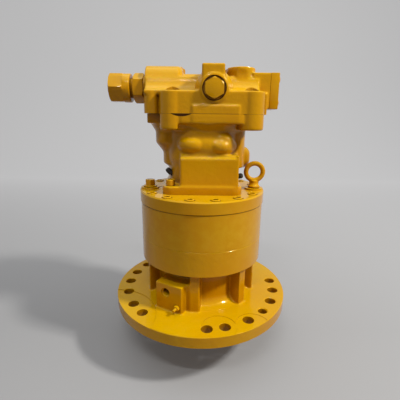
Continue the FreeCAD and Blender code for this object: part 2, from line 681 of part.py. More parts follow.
def taper_races(length, width, circle, radius, heading, bore, outer, bottom):
    """Outlines of the inner and outer ring of a tapered roller bearing.

    heading is 1 where the thick end of the rollers is up, and -1 where it is down.
    """
    middle = "(%s + %s / 2)" % (bottom, width)

    def outer_line(height):
        return ("(%s + %s * cos(race_tilt) + running + ((%s - %s) * %d + %s * sin(race_tilt))"
                " * tan(race_tilt + roller_taper))" % (circle, radius, height, middle, heading, radius))

    def inner_line(height):
        return ("(%s - %s * cos(race_tilt) - running + ((%s - %s) * %d - %s * sin(race_tilt))"
                " * tan(race_tilt - roller_taper))" % (circle, radius, height, middle, heading, radius))

    low = bottom
    high = "(%s + %s)" % (bottom, width)
    cup_low = "(%s + 3)" % low if heading < 0 else low
    cup_high = high if heading < 0 else "(%s - 3)" % high
    cup = [(outer, cup_low), (outer, cup_high), (outer_line(cup_high), cup_high),
           (outer_line(cup_low), cup_low)]
    roller_end = ("(%s / 2 * cos(race_tilt) + (%s + %s / 2 * tan(roller_taper)) * sin(race_tilt) + running)"
                  % (length, radius, length))
    rib_edge = "(%s + %d * %s)" % (middle, heading, roller_end)
    rib_face = high if heading > 0 else low
    thin_face = low if heading > 0 else high
    race = [(bore, thin_face), (bore, rib_face),
            ("%s + race_rib" % inner_line(rib_edge), rib_face),
            ("%s + race_rib" % inner_line(rib_edge), rib_edge),
            (inner_line(rib_edge), rib_edge),
            (inner_line(thin_face), thin_face)]
    return race, cup


def taper_rollers(label, circle, radius, length, width, bottom, heading, count):
    """A full row of tapered rollers, tilted towards the shaft axis."""
    tilt = size("race_tilt")
    change = size(length) / 2 * math.tan(math.radians(size("roller_taper")))
    roller = Part.makeCone(size(radius) - change, size(radius) + change, size(length),
                           Vector(0, 0, -size(length) / 2), UP)
    if heading < 0:
        roller.rotate(Vector(), Vector(1, 0, 0), 180)
    roller.rotate(Vector(), Vector(0, 1, 0), tilt * heading)
    roller.translate(Vector(size(circle), 0, size("%s + %s / 2" % (bottom, width))))
    shape = Part.makeCompound([roller.transformed(spot.toMatrix()) for spot in around(int(size(count)))])
    return solid_feature(label, shape)


for name, heading, seat in (("lower", -1, "lower_seat"), ("upper", 1, "upper_seat")):
    race, cup = taper_races(name + "_roller_length", name + "_bearing_width", name + "_roller_circle",
                            name + "_roller_radius", heading, seat + " + snug", name + "_bearing_outer",
                            name + "_bearing_bottom")
    keep(turned(name + "_race", race), name + "_bearing_inner_ring")
    keep(turned(name + "_cup", cup), name + "_bearing_outer_ring")
    taper_rollers(name + "_bearing_rollers", name + "_roller_circle", name + "_roller_radius",
                  name + "_roller_length", name + "_bearing_width", name + "_bearing_bottom", heading,
                  name + "_roller_count")

# Output shaft: one forging with the pinion that drives the slewing ring's teeth.
pinion_top = "pinion_bottom + pinion_width"
shaft_core = turned("shaft_core", [
    ("0", "pinion_bottom"),
    ("shaft_middle", "pinion_bottom"),
    ("shaft_middle", pinion_top),
    ("journal_radius", pinion_top + " + 2"),
    ("journal_radius", "lower_bearing_bottom"),
    ("lower_seat", "lower_bearing_bottom"),
    ("lower_seat", lower_seat_top + " + 2"),
    ("shaft_middle", lower_seat_top + " + 4"),
    ("shaft_middle", "upper_bearing_bottom"),
    ("upper_seat", "upper_bearing_bottom"),
    ("upper_seat", upper_seat_top),
    ("spline_radius", upper_seat_top),
    ("spline_radius", "shaft_top"),
    ("0", "shaft_top"),
])
pinion_module = size("pinion_module")
pinion_teeth = int(size("pinion_teeth"))
pinion_pitch = pinion_module * pinion_teeth / 2
pinion_face = gear_face(pinion_teeth, pinion_module, pinion_pitch + 1.3 * pinion_module,
                        pinion_pitch - 0.85 * pinion_module, 0.3, 90, 0.4)
pinion = doc.addObject("Part::Feature", "pinion_teeth_row")
pinion.Shape = pinion_face.extrude(Vector(0, 0, size("pinion_width")))
place(pinion, ("0", "0", "pinion_bottom"))
keep(fuse([shaft_core, pinion]), "output_shaft")

keep(turned("seal_body", [
    ("journal_radius + running", "output_seal_bottom"),
    ("lower_bearing_outer", "output_seal_bottom"),
    ("lower_bearing_outer", "output_seal_bottom + output_seal_height"),
    ("journal_radius + 4", "output_seal_bottom + output_seal_height"),
    ("journal_radius + running", "output_seal_bottom + output_seal_height / 2"),
]), "output_seal")
keep(turned("nut_body", [
    ("spline_radius + snug", upper_seat_top),
    ("shaft_nut_radius", upper_seat_top),
    ("shaft_nut_radius", upper_seat_top + " + shaft_nut_height"),
    ("spline_radius + snug", upper_seat_top + " + shaft_nut_height"),
]), "shaft_nut")


def reduction_stage(name, mark, sun_teeth, planet_teeth):
    """Carrier, pins, washers, rollers and planets of one stage."""
    distance_text = "(gear_module * (sun_%s_teeth + planet_%s_teeth) / 2)" % (mark, mark)
    distance = size(distance_text)
    low = "carrier_%s_bottom" % mark
    high = "(carrier_%s_bottom + carrier_%s_thickness)" % (mark, mark)
    gear_low = "planet_%s_bottom" % mark
    gear_high = "(planet_%s_bottom + planet_%s_width)" % (mark, mark)
    pin = "pin_%s_radius" % mark
    bore = "spline_radius" if mark == "two" else "sun_two_hub"
    plate = turned(name + "_plate", [
        (bore + " + snug", low), ("carrier_%s_radius" % mark, low),
        ("carrier_%s_radius" % mark, high), (bore + " + snug", high)])
    drill(plate, pin + " + snug", distance_text + " * cos(%s)" % FIRST_PLANET,
          distance_text + " * sin(%s)" % FIRST_PLANET, high, "carrier_%s_thickness" % mark, str(PLANETS))
    keep(plate, name + "_carrier")
    spots = planet_places(distance)
    pin_top = gear_high + " + running * 2 + washer_thickness"
    pin_piece = fuse([
        cylinder(pin, pin_top + " - " + low, ("0", "0", low)),
        cylinder("pin_%s_head" % mark, "pin_head_height", ("0", "0", pin_top)),
    ])
    seats = [Placement(spot, Rotation(UP, angle)) for angle, spot in spots]
    copies_of(name + "_planet_pins", pin_piece, seats)
    washer_inner = pin + " + snug"
    washer_outer = "pin_%s_head" % mark
    washers = fuse([
        cut(cylinder(washer_outer, "washer_thickness", ("0", "0", gear_low + " - running - washer_thickness")),
            [cylinder(washer_inner, "washer_thickness + 2", ("0", "0", gear_low + " - washer_thickness - 2"))]),
        cut(cylinder(washer_outer, "washer_thickness", ("0", "0", gear_high + " + running")),
            [cylinder(washer_inner, "washer_thickness + 2", ("0", "0", gear_high + " - 1"))]),
    ])
    copies_of(name + "_thrust_washers", washers, seats)
    roller = "roller_%s_radius" % mark
    track = "(%s + %s) / 2" % (pin, "planet_%s_bore" % mark)
    fit = size("(planet_%s_bore - %s) / 2 - running" % (mark, pin))
    count = int(math.pi / math.asin((fit + 0.1) / size(track)))
    needle = Part.makeCylinder(fit, size("planet_%s_width - 1" % mark),
                               Vector(size(track), 0, size(gear_low + " + 0.5")))
    row_of_rollers = Part.makeCompound([needle.transformed(turn.toMatrix()) for turn in around(count)])
    solid_feature(name + "_planet_rollers", Part.makeCompound(
        [piece.transformed(seat.toMatrix()) for seat in seats for piece in row_of_rollers.Solids]))
    for number, (angle, spot) in enumerate(spots, 1):
        gear = gear_blank(planet_teeth, planet_tooth(angle, planet_teeth), size(gear_low),
                          size("planet_%s_width" % mark), size("planet_%s_bore" % mark))
        gear.translate(spot)
        solid_feature("%s_planet_%d" % (name, number), gear)


sun_two_teeth = int(size("sun_two_teeth"))
planet_two_teeth = int(size("planet_two_teeth"))
sun_one_teeth = int(size("sun_one_teeth"))
planet_one_teeth = int(size("planet_one_teeth"))
reduction_stage("output", "two", sun_two_teeth, planet_two_teeth)
reduction_stage("input", "one", sun_one_teeth, planet_one_teeth)

# Output stage sun: it is splined into the input stage's carrier.
carrier_one_top = "carrier_one_bottom + carrier_one_thickness"
sun_two = gear_blank(sun_two_teeth, sun_tooth(sun_two_teeth, planet_two_teeth),
                     size("planet_two_bottom"), size("planet_two_width"), size("drive_spline"))
sun_two_neck = Part.makeCylinder(size("sun_two_hub"), size(carrier_one_top + " - planet_two_bottom - 1"),
                                 Vector(0, 0, size("planet_two_bottom + 1")))
sun_two_neck = sun_two_neck.cut(Part.makeCylinder(size("drive_spline"), size("ring_height"),
                                                  Vector(0, 0, size("planet_two_bottom"))))
solid_feature("output_sun_gear", sun_two.fuse(sun_two_neck).removeSplitter())

# Input stage sun: its long hub is splined onto the end of the motor shaft.
sun_one = gear_blank(sun_one_teeth, sun_tooth(sun_one_teeth, planet_one_teeth),
                     size("planet_one_bottom"), size("planet_one_width"), size("drive_spline + snug"))
sun_one_neck = Part.makeCylinder(size("sun_one_hub"), size("sun_one_hub_top - planet_one_bottom - 1"),
                                 Vector(0, 0, size("planet_one_bottom + 1")))
sun_one_neck = sun_one_neck.cut(Part.makeCylinder(size("drive_spline + snug"), size("ring_height"),
                                                  Vector(0, 0, size("planet_one_bottom"))))
solid_feature("input_sun_gear", sun_one.fuse(sun_one_neck).removeSplitter())

# Motor casing: a rounded square flange on the deck, a body that widens upwards,
# a flat block on the front and back, and an eared flange under the valve cover.
flange_top = deck + " + motor_flange_height"


def rounded_block(half, corner, bottom, top):
    """A square block on the shaft axis with round corners."""
    inner = "(%s) - (%s)" % (half, corner)
    blocks = [box(("-(%s)" % half, "-(%s)" % inner, bottom), (half, inner, top)),
              box(("-(%s)" % inner, "-(%s)" % half, bottom), (inner, half, top))]
    for across in (inner, "-(%s)" % inner):
        for along in (inner, "-(%s)" % inner):
            blocks.append(cylinder(corner, "(%s) - (%s)" % (top, bottom), (across, along, bottom)))
    return blocks


casing_core = turned("casing_core", [
    ("shaft_bore", deck + " - pilot_depth"),
    ("pilot_radius", deck + " - pilot_depth"),
    ("pilot_radius", deck + " + 1"),
    ("body_radius", deck + " + 1"),
    ("body_radius", "cavity_floor + 4"),
    ("body_neck", "cavity_floor + 24"),
    ("body_neck", "casing_joint"),
    ("cavity_high", "casing_joint"),
    ("cavity_high", "brake_shelf"),
    ("cavity_low", "brake_shelf"),
    ("cavity_low", "cavity_floor"),
    ("front_bearing_outer + snug", "cavity_floor"),
    ("front_bearing_outer + snug", "front_bearing_bottom"),
    ("outer_ring_radius", "front_bearing_bottom"),
    ("outer_ring_radius", "seal_seat_bottom + seal_seat_height"),
    ("seal_seat_radius + snug", "seal_seat_bottom + seal_seat_height"),
    ("seal_seat_radius + snug", "seal_seat_bottom"),
    ("shaft_bore", "seal_seat_bottom"),
])
cavity = fuse([
    cylinder("shaft_bore", "casing_joint", ("0", "0", "0")),
    cylinder("seal_seat_radius + snug", "casing_joint", ("0", "0", "seal_seat_bottom")),
    cylinder("outer_ring_radius", "casing_joint", ("0", "0", "seal_seat_bottom + seal_seat_height")),
    cylinder("front_bearing_outer + snug", "casing_joint", ("0", "0", "front_bearing_bottom")),
    cylinder("cavity_low", "casing_joint", ("0", "0", "cavity_floor")),
    cylinder("cavity_high", "casing_joint", ("0", "0", "brake_shelf")),
])
EARS = (("ear_left", "-ear_depth"), ("ear_right", "-ear_depth"), ("ear_left", "ear_depth"),
        ("ear_right", "ear_depth"))
casing_pieces = [casing_core] + rounded_block("motor_flange_half", "motor_corner", deck, flange_top)
casing_pieces.append(box(("block_left", "-block_depth", deck), ("block_right", "block_depth", "block_top")))
casing_pieces.append(box(("top_flange_left", "-side_depth", "top_flange_bottom"),
                         ("ear_right + ear_radius - 2", "ear_depth", "casing_joint")))
casing_pieces.append(box(("ear_left", "-flange_depth", "top_flange_bottom"),
                         ("ear_right", "flange_depth", "casing_joint")))
casing_pieces.append(box(("pad_left", "-front_depth", "top_flange_bottom"),
                         ("pad_right", "0", "casing_joint")))
for across, along in EARS:
    casing_pieces.append(cylinder("ear_radius", "casing_joint - ear_bottom", (across, along, "ear_bottom")))

# Rounded swellings on the front and back, and lobes on the left and right, widen
# the body step by step towards the eared flange.
for across in ("bulge_left", "bulge_right"):
    for along in ("-bulge_depth", "bulge_depth"):
        swelling = doc.addObject("Part::Sphere", "swelling")
        swelling.setExpression("Radius", formula("bulge_radius"))
        casing_pieces.append(place(swelling, (across, along, "bulge_height")))
casing_pieces += [
    cone("lobe_low_radius - 12", "lobe_low_radius", "8", ("lobe_low", "0", "lobe_low_bottom - 8")),
    cylinder("lobe_low_radius", "lobe_low_top - lobe_low_bottom", ("lobe_low", "0", "lobe_low_bottom")),
    cone("lobe_high_radius - 14", "lobe_high_radius", "lobe_high_bottom - lobe_low_top",
         ("lobe_high", "0", "lobe_low_top")),
    cylinder("lobe_high_radius", "lobe_high_top - lobe_high_bottom", ("lobe_high", "0", "lobe_high_bottom")),
    cone("lobe_high_radius", "lobe_high_radius + 10", "top_flange_bottom - lobe_high_top",
         ("lobe_high", "0", "lobe_high_top")),
    cylinder("right_lobe_radius", "top_flange_bottom - right_lobe_bottom", ("right_lobe", "0", "right_lobe_bottom")),
    cone("right_lobe_radius", "right_lobe_radius + 8", "14", ("right_lobe", "0", "top_flange_bottom - 14")),
    cylinder("side_boss_radius", "side_boss_high - side_boss_low", ("side_boss", "side_boss_back", "side_boss_low")),
]
for height in ("side_boss_low", "side_boss_high"):
    boss_end = doc.addObject("Part::Sphere", "boss_end")
    boss_end.setExpression("Radius", formula("side_boss_radius"))
    casing_pieces.append(place(boss_end, ("side_boss", "side_boss_back", height)))
casing_tools = [cavity, cylinder("scoop_radius", "40", ("scoop_middle", "-scoop_depth", "casing_joint + scoop_rise"),
                                 TO_FRONT)]
for across, along in EARS:
    casing_tools.append(cylinder("cover_screw_radius + snug", "cover_screw_bite + 2",
                                 (across, along, "casing_joint - cover_screw_bite - 1")))
for across, along in ((spread, spread), ("-" + spread, spread), ("-" + spread, "-" + spread),
                      (spread, "-" + spread)):
    casing_tools.append(cylinder("motor_screw_radius + 0.5", "motor_flange_height + 2",
                                 (across, along, deck + " - 1")))
    casing_tools.append(cylinder("motor_screw_head + 1", "block_top - 10 - (%s)" % flange_top,
                                 (across, along, flange_top)))
for along in ("-" + spread, spread):
    casing_tools.append(box((spread, along + " - motor_screw_head - 1", flange_top),
                            ("block_right + 1", along + " + motor_screw_head + 1", "block_top - 10")))
CAP_PLACES = (((-58.0, -32.0, 284.0), (-0.66, -0.12, 0.74)), ((62.0, -36.0, 284.0), (0.93, -0.3, 0.2)))
for start, way in CAP_PLACES:
    turn = Rotation(UP, Vector(*way))
    casing_tools.append(cylinder("cap_stub_radius + snug", "cap_stub_length + 6", start, turn))
keep(cut(fuse(casing_pieces), casing_tools), "motor_casing")

motor_screw = socket_screw("motor_screw_radius", "motor_screw_head", "motor_screw_head_height",
                           "motor_flange_height + motor_screw_bite", "motor_screw_radius * 1.6")
reach = size("motor_screw_spread")
copies_of("motor_screws", motor_screw, [
    Placement(Vector(reach * right, reach * back, size(flange_top)), Rotation())
    for right in (1, -1) for back in (1, -1)])

# Plastic caps close the two small hose connections at the foot of the motor.
cap_piece = fuse([
    cylinder("cap_stub_radius", "cap_stub_length", ("0", "0", "0")),
    cylinder("cap_radius", "cap_length", ("0", "0", "cap_stub_length")),
])
cap_spots = []
for start, way in CAP_PLACES:
    direction = Vector(*way).normalize()
    base = Vector(*start) + direction * 8
    cap_spots.append(Placement(base, Rotation(UP, direction)))
copies_of("port_caps", cap_piece, cap_spots)

# Motor shaft, its seal, the ball bearing at the front and the needle bearing at the rear.
keep(turned("shaft_body", [
    ("0", "motor_shaft_bottom"),
    ("drive_spline", "motor_shaft_bottom"),
    ("drive_spline", "drive_spline_top"),
    ("motor_shaft_radius", "drive_spline_top"),
    ("motor_shaft_radius", "front_bearing_bottom + front_bearing_width"),
    ("shaft_collar_radius", "front_bearing_bottom + front_bearing_width"),
    ("shaft_collar_radius", "shaft_collar_top"),
    ("motor_shaft_radius", "shaft_collar_top"),
    ("motor_shaft_radius", "rear_journal_bottom"),
    ("rear_journal", "rear_journal_bottom"),
    ("rear_journal", "motor_shaft_top"),
    ("0", "motor_shaft_top"),
]), "motor_shaft")
keep(turned("lip_seal", [
    ("motor_shaft_radius + running", "shaft_seal_bottom"),
    ("seal_seat_radius", "shaft_seal_bottom"),
    ("seal_seat_radius", "shaft_seal_bottom + shaft_seal_height"),
    ("motor_shaft_radius + 3", "shaft_seal_bottom + shaft_seal_height"),
    ("motor_shaft_radius + running", "shaft_seal_bottom + shaft_seal_height / 2"),
]), "motor_shaft_seal")
ball_middle = "(front_bearing_bottom + front_bearing_width / 2)"
groove = "(ball_radius + running)"
inner_half = "sqrt(%s ^ 2 - (ball_circle - inner_ring_radius) ^ 2)" % groove
outer_half = "sqrt(%s ^ 2 - (outer_ring_radius - ball_circle) ^ 2)" % groove
keep(turned("ball_inner", [
    ("motor_shaft_radius + snug", "front_bearing_bottom"),
    ("inner_ring_radius", "front_bearing_bottom"),
    ("inner_ring_radius", "%s - %s" % (ball_middle, inner_half)),
    ("inner_ring_radius", "%s + %s" % (ball_middle, inner_half), "-" + groove),
    ("inner_ring_radius", "front_bearing_bottom + front_bearing_width"),
    ("motor_shaft_radius + snug", "front_bearing_bottom + front_bearing_width"),
]), "front_bearing_inner_ring")
keep(turned("ball_outer", [
    ("front_bearing_outer", "front_bearing_bottom"),
    ("front_bearing_outer", "front_bearing_bottom + front_bearing_width"),
    ("outer_ring_radius", "front_bearing_bottom + front_bearing_width"),
    ("outer_ring_radius", "%s + %s" % (ball_middle, outer_half)),
    ("outer_ring_radius", "%s - %s" % (ball_middle, outer_half), "-" + groove),
    ("outer_ring_radius", "front_bearing_bottom"),
]), "front_bearing_outer_ring")
ball = Part.makeSphere(size("ball_radius"), Vector(size("ball_circle"), 0, size(ball_middle)))
solid_feature("front_bearing_balls", Part.makeCompound(
    [ball.transformed(spot.toMatrix()) for spot in around(int(size("ball_count")))]))
needle_track = "(rear_journal + running + needle_radius)"
shell = Part.makeCylinder(size("rear_bore - snug"), size("rear_bearing_width"),
                          Vector(0, 0, size("rear_bearing_bottom")))
shell = shell.cut(Part.makeCylinder(size(needle_track + " + needle_radius"), size("rear_bearing_width"),
                                    Vector(0, 0, size("rear_bearing_bottom"))))
rear_needle = Part.makeCylinder(size("needle_radius"), size("rear_bearing_width - 2"),
                                Vector(size(needle_track), 0, size("rear_bearing_bottom + 1")))
solid_feature("rear_bearing", Part.makeCompound([shell] + [
    rear_needle.transformed(spot.toMatrix()) for spot in around(int(size("needle_count")))]))

# Swash plate: a ring whose upper face is tilted towards the right.
swash_body = doc.addObject("PartDesign::Body", "swash_wedge")
swash_sketch = swash_body.newObject("Sketcher::SketchObject", "swash_outline")
swash_sketch.AttachmentSupport = (origin_plane(swash_body, "XZ_Plane"), "")
swash_sketch.MapMode = "FlatFace"
draw_outline(swash_sketch, [
    ("-swash_outer - 1", "cavity_floor"),
    ("swash_outer + 1", "cavity_floor"),
    ("swash_outer + 1", "swash_height + (swash_outer + 1) * tan(swash_tilt)"),
    ("-swash_outer - 1", "swash_height - (swash_outer + 1) * tan(swash_tilt)"),
])
swash_pad = swash_body.newObject("PartDesign::Pad", "swash_pad")
swash_pad.Profile = swash_sketch
swash_pad.setExpression("Length", formula("swash_outer * 2 + 4"))
swash_pad.Midplane = True
swash_round = doc.addObject("Part::MultiCommon", "swash_round")
swash_round.Shapes = [swash_body, cylinder("swash_outer", "100", ("0", "0", "cavity_floor"))]
keep(cut(swash_round, [cylinder("swash_bore", "102", ("0", "0", "cavity_floor - 1"))]), "swash_plate")

# Cylinder block with nine bores. The pistons and their shoes turn with it.
block = turned("block_body", [
    ("motor_shaft_radius + snug", "block_bottom"),
    ("block_radius", "block_bottom"),
    ("block_radius", "block_face"),
    ("motor_shaft_radius + snug", "block_face"),
])
drill(block, "piston_radius + snug", "piston_circle", "0", "bore_top", "bore_top - block_bottom",
      "piston_count")
keep(block, "cylinder_block")
neck_rise = "sqrt(ball_end ^ 2 - piston_neck ^ 2)"
piston = turned("piston_body", [
    ("0", "ball_end_height - ball_end"),
    ("piston_neck", "ball_end_height + " + neck_rise, "ball_end"),
    ("piston_neck", "block_bottom - 1"),
    ("piston_radius", "block_bottom + 1"),
    ("piston_radius", "piston_top"),
    ("0", "piston_top"),
])
piston_places = [Placement(spot.Rotation.multVec(Vector(size("piston_circle"), 0, 0)), Rotation())
                 for spot in around(int(size("piston_count")))]
copies_of("pistons", piston, piston_places)
shoe_socket = doc.addObject("Part::Sphere", "shoe_socket")
shoe_socket.setExpression("Radius", formula("ball_end + snug"))
place(shoe_socket, ("0", "0", "ball_end_height"))
shoe = cut(fuse([
    cylinder("shoe_radius", "shoe_foot", ("0", "0", "shoe_bottom")),
    cylinder("shoe_cup", "shoe_height", ("0", "0", "shoe_bottom")),
]), [shoe_socket])
copies_of("piston_shoes", shoe, piston_places)
retainer = turned("retainer_body", [
    ("retainer_inner", "shoe_bottom + shoe_foot + snug"),
    ("retainer_outer", "shoe_bottom + shoe_foot + snug"),
    ("retainer_outer", "shoe_bottom + shoe_foot + snug + retainer_thickness"),
    ("retainer_inner", "shoe_bottom + shoe_foot + snug + retainer_thickness"),
])
drill(retainer, "shoe_cup + 0.4", "piston_circle", "0",
      "shoe_bottom + shoe_foot + snug + retainer_thickness", "retainer_thickness + 1", "piston_count")
keep(retainer, "shoe_retainer")
valve_plate = turned("valve_plate_body", [
    ("valve_plate_inner", "block_face + valve_plate_gap"),
    ("valve_plate_outer", "block_face + valve_plate_gap"),
    ("valve_plate_outer", "casing_joint"),
    ("valve_plate_inner", "casing_joint"),
])
drill(valve_plate, "valve_plate_port", "piston_circle * cos(22.5)", "piston_circle * sin(22.5)",
      "casing_joint", "casing_joint - block_face", "8")
keep(valve_plate, "valve_plate")

# Parking brake: steel plates in the casing, lined plates on the block, a ring
# piston and two disc springs between the piston and the valve cover.
steel_plate = turned("steel_plate_body", [
    ("steel_plate_inner", "brake_shelf"), ("cavity_high - snug", "brake_shelf"),
    ("cavity_high - snug", "brake_shelf + steel_plate"), ("steel_plate_inner", "brake_shelf + steel_plate")])
lined_low = "brake_shelf + steel_plate + plate_gap"
lined_plate = turned("lined_plate_body", [
    ("block_radius + snug", lined_low), ("friction_plate_outer", lined_low),
    ("friction_plate_outer", lined_low + " + friction_plate"),
    ("block_radius + snug", lined_low + " + friction_plate")])
pitch = size("plate_pitch")
copies_of("separator_plates", steel_plate, [Placement(Vector(0, 0, pitch * n), Rotation()) for n in range(4)])
copies_of("friction_plates", lined_plate, [Placement(Vector(0, 0, pitch * n), Rotation()) for n in range(3)])
piston_top = "brake_piston_bottom + brake_piston_height"
keep(turned("ring_piston", [
    ("brake_piston_inner", "brake_piston_bottom"),
    ("cavity_high - running", "brake_piston_bottom"),
    ("cavity_high - running", piston_top),
    ("brake_piston_inner", piston_top),
]), "brake_piston")
spring_low = piston_top + " + spring_seat"
disc_spring = turned("disc_spring", [
    ("cavity_high - 1", spring_low), ("cavity_high - 1", spring_low + " + spring_thickness"),
    ("brake_piston_inner + 1", spring_low + " + spring_height"),
    ("brake_piston_inner + 1", spring_low + " + spring_height - spring_thickness")])
spring_middle = size(spring_low + " + spring_height + snug / 2")
copies_of("brake_springs", disc_spring, [
    Placement(), Placement(Vector(0, 0, 2 * spring_middle), Rotation(Vector(1, 0, 0), 180))])

# Valve cover: a casting with a low shelf for its four screws, a port boss on the
# left, a square boss in the middle and a shorter barrel on the right.
left_face = "cover_left_face"
ramp = doc.addObject("PartDesign::Body", "cover_ramp")
ramp_sketch = ramp.newObject("Sketcher::SketchObject", "cover_ramp_outline")
ramp_sketch.AttachmentSupport = (origin_plane(ramp, "YZ_Plane"), "")
ramp_sketch.MapMode = "FlatFace"
draw_outline(ramp_sketch, [
    ("ramp_foot", "shelf_height - 5"),
    ("0", "shelf_height - 5"),
    ("0", "casing_joint + ramp_top_rise"),
    ("ramp_top", "casing_joint + ramp_top_rise"),
    ("ramp_bend", "casing_joint + ramp_bend_rise"),
    ("ramp_foot", "shelf_height"),
])
ramp_pad = ramp.newObject("PartDesign::Pad", "cover_ramp_pad")
ramp_pad.Profile = ramp_sketch
ramp_pad.setExpression("Length", formula("ear_right - ear_left + 32"))
place(ramp, ("ear_left - 16", "0", "0"))
valve_pieces = [
    ramp,
    box((left_face, "-side_depth", "casing_joint"), ("cover_right", "ear_depth", "shelf_height")),
    box(("ear_left", "-cover_depth", "casing_joint"), ("ear_right", "cover_back", "shelf_height")),
    box(("pad_left", "-front_depth", "casing_joint"), ("pad_right", "0", "pad_top")),
    box((left_face, "rear_front", "casing_joint"), ("cover_right", "ear_depth", "rear_top")),
    box(("ear_left", "rear_front", "casing_joint"), ("ear_right", "rear_back", "rear_top")),
    box((left_face, "-left_hump_radius", "casing_joint + 1"), ("left_hump_end", "left_hump_radius", "hump_axis")),
    cylinder("left_hump_radius", "left_hump_end - cover_left_face", (left_face, "0", "hump_axis"), TO_RIGHT),
    cone("left_hump_radius", "step_radius", "8", ("left_hump_end", "0", "hump_axis"), TO_RIGHT),
    cylinder("step_radius", "cover_right - left_hump_end", ("left_hump_end", "0", "port_axis"), TO_RIGHT),
    cylinder("dome_radius", "dome_top - shelf_height + 1", ("dome_middle", "dome_back", "shelf_height - 1")),
    box(("boss_left", "-cover_depth", "casing_joint"), ("boss_right", "boss_back", "boss_top")),
    box(("block_end - 34", "-plate_half_width", "plate_bottom"), ("block_end", "plate_half_width",
                                                                 "plate_top")),
    cylinder("plug_recess_radius + 4", "20", ("plug_middle", "-front_depth", "plug_height"), TO_BACK),
]
for across, along in EARS:
    valve_pieces.append(cylinder("ear_radius", "shelf_height - casing_joint", (across, along, "casing_joint")))
valve_tools = [
    cylinder("rear_bore", "rear_bore_top - casing_joint + 1", ("0", "0", "casing_joint - 1")),
    cylinder("plug_recess_radius", "plug_recess + 1", ("plug_middle", "-front_depth - 1", "plug_height"), TO_BACK),
    cylinder("plug_stem + snug", "plug_stem_length + plug_recess + 1",
             ("plug_middle", "-front_depth - 1", "plug_height"), TO_BACK),
    cylinder("adapter_stem + snug", "adapter_stem_length + 2", (left_face + " - 1", "0", "port_axis"), TO_RIGHT),
]
for across, along in EARS:
    valve_tools.append(cylinder("cover_screw_radius + 0.5", "shelf_height - casing_joint + 2",
                                (across, along, "casing_joint - 1")))
    valve_tools.append(cylinder("cover_screw_recess", "rear_top - shelf_height + cover_screw_recess_depth + 2",
                                (across, along, "shelf_height - cover_screw_recess_depth")))
for across in ("rear_port_left", "rear_port_right"):
    back = "rear_back + 1"
    valve_tools.append(cylinder("rear_port_radius", "rear_port_depth + 1",
                                (across, back, "rear_port_height"), TO_FRONT))
    for side in ("-", "+"):
        for level in ("-", "+"):
            valve_tools.append(cylinder(
                "rear_port_thread", "rear_port_thread_depth + 1",
                ("%s %s rear_port_span_x / 2" % (across, side), back,
                 "rear_port_height %s rear_port_span_z / 2" % level), TO_FRONT))
for across in ("relief_left", "relief_right"):
    valve_tools.append(cylinder("relief_stem + snug", "relief_stem_length + 1",
                                (across, "relief_back", "rear_top - relief_stem_length")))
    valve_tools.append(cylinder("relief_flats / 2 / cos(30) + 1.5", "relief_head + 10",
                                (across, "relief_back", "rear_top")))
for along in ("-plate_screw_y", "plate_screw_y"):
    for height in ("plate_screw_low", "plate_screw_high"):
        valve_tools.append(cylinder("plate_screw_radius + snug", "plate_screw_bite + 1",
                                    ("block_end - plate_screw_bite", along, height), TO_RIGHT))
keep(cut(fuse(valve_pieces), valve_tools), "valve_cover")

cover_screw = socket_screw("cover_screw_radius", "cover_screw_head", "cover_screw_head_height",
                           "shelf_height - cover_screw_recess_depth - casing_joint + cover_screw_bite",
                           "cover_screw_radius * 1.6")
copies_of("valve_cover_screws", cover_screw, [
    Placement(Vector(size(across), size(along), size("shelf_height - cover_screw_recess_depth")), Rotation())
    for across, along in EARS])

# Front plug: a hexagon plug, seated in a round recess of the square boss.
plug_seat = "-front_depth + plug_recess"
keep(fuse([
    hexagon("plug_flats", "plug_head", ("plug_middle", plug_seat, "plug_height"), TO_FRONT, True),
    cylinder("plug_stem", "plug_stem_length", ("plug_middle", plug_seat, "plug_height"), TO_BACK),
    cylinder("plug_flats / 2 + 1", "2", ("plug_middle", plug_seat, "plug_height"), TO_FRONT),
]), "front_port_plug")

relief_valve = fuse([
    hexagon("relief_flats", "relief_head", ("0", "0", "0")),
    cylinder("relief_stem", "relief_stem_length", ("0", "0", "-relief_stem_length")),
    cylinder("relief_flats / 2 - 3", "relief_head + 3", ("0", "0", "0")),
])
copies_of("relief_valves", relief_valve, [
    Placement(Vector(size(across), size("relief_back"), size("rear_top")), Rotation())
    for across in ("relief_left", "relief_right")])

# End plate and its four screws close the right end of the barrel.
end_plate = box(("block_end", "-plate_half_width", "plate_bottom"),
                ("block_end + plate_thickness", "plate_half_width", "plate_top"))
end_tools = []
plate_outer = "block_end + plate_thickness"
plate_screw_spots = []
for along in ("-plate_screw_y", "plate_screw_y"):
    for height in ("plate_screw_low", "plate_screw_high"):
        end_tools.append(cylinder("plate_screw_radius + 0.3", "plate_thickness + 2",
                                  ("block_end - 1", along, height), TO_RIGHT))
        end_tools.append(cylinder("plate_screw_head + 0.4", "plate_screw_recess + 1",
                                  (plate_outer + " - plate_screw_recess", along, height), TO_RIGHT))
        plate_screw_spots.append(Placement(
            Vector(size(plate_outer + " - plate_screw_recess"), size(along), size(height)), TO_RIGHT))
keep(cut(end_plate, end_tools), "end_plate")
plate_screw = socket_screw("plate_screw_radius", "plate_screw_head", "plate_screw_head_height",
                           "plate_thickness - plate_screw_recess + plate_screw_bite",
                           "plate_screw_radius * 1.5")
copies_of("end_plate_screws", plate_screw, plate_screw_spots)

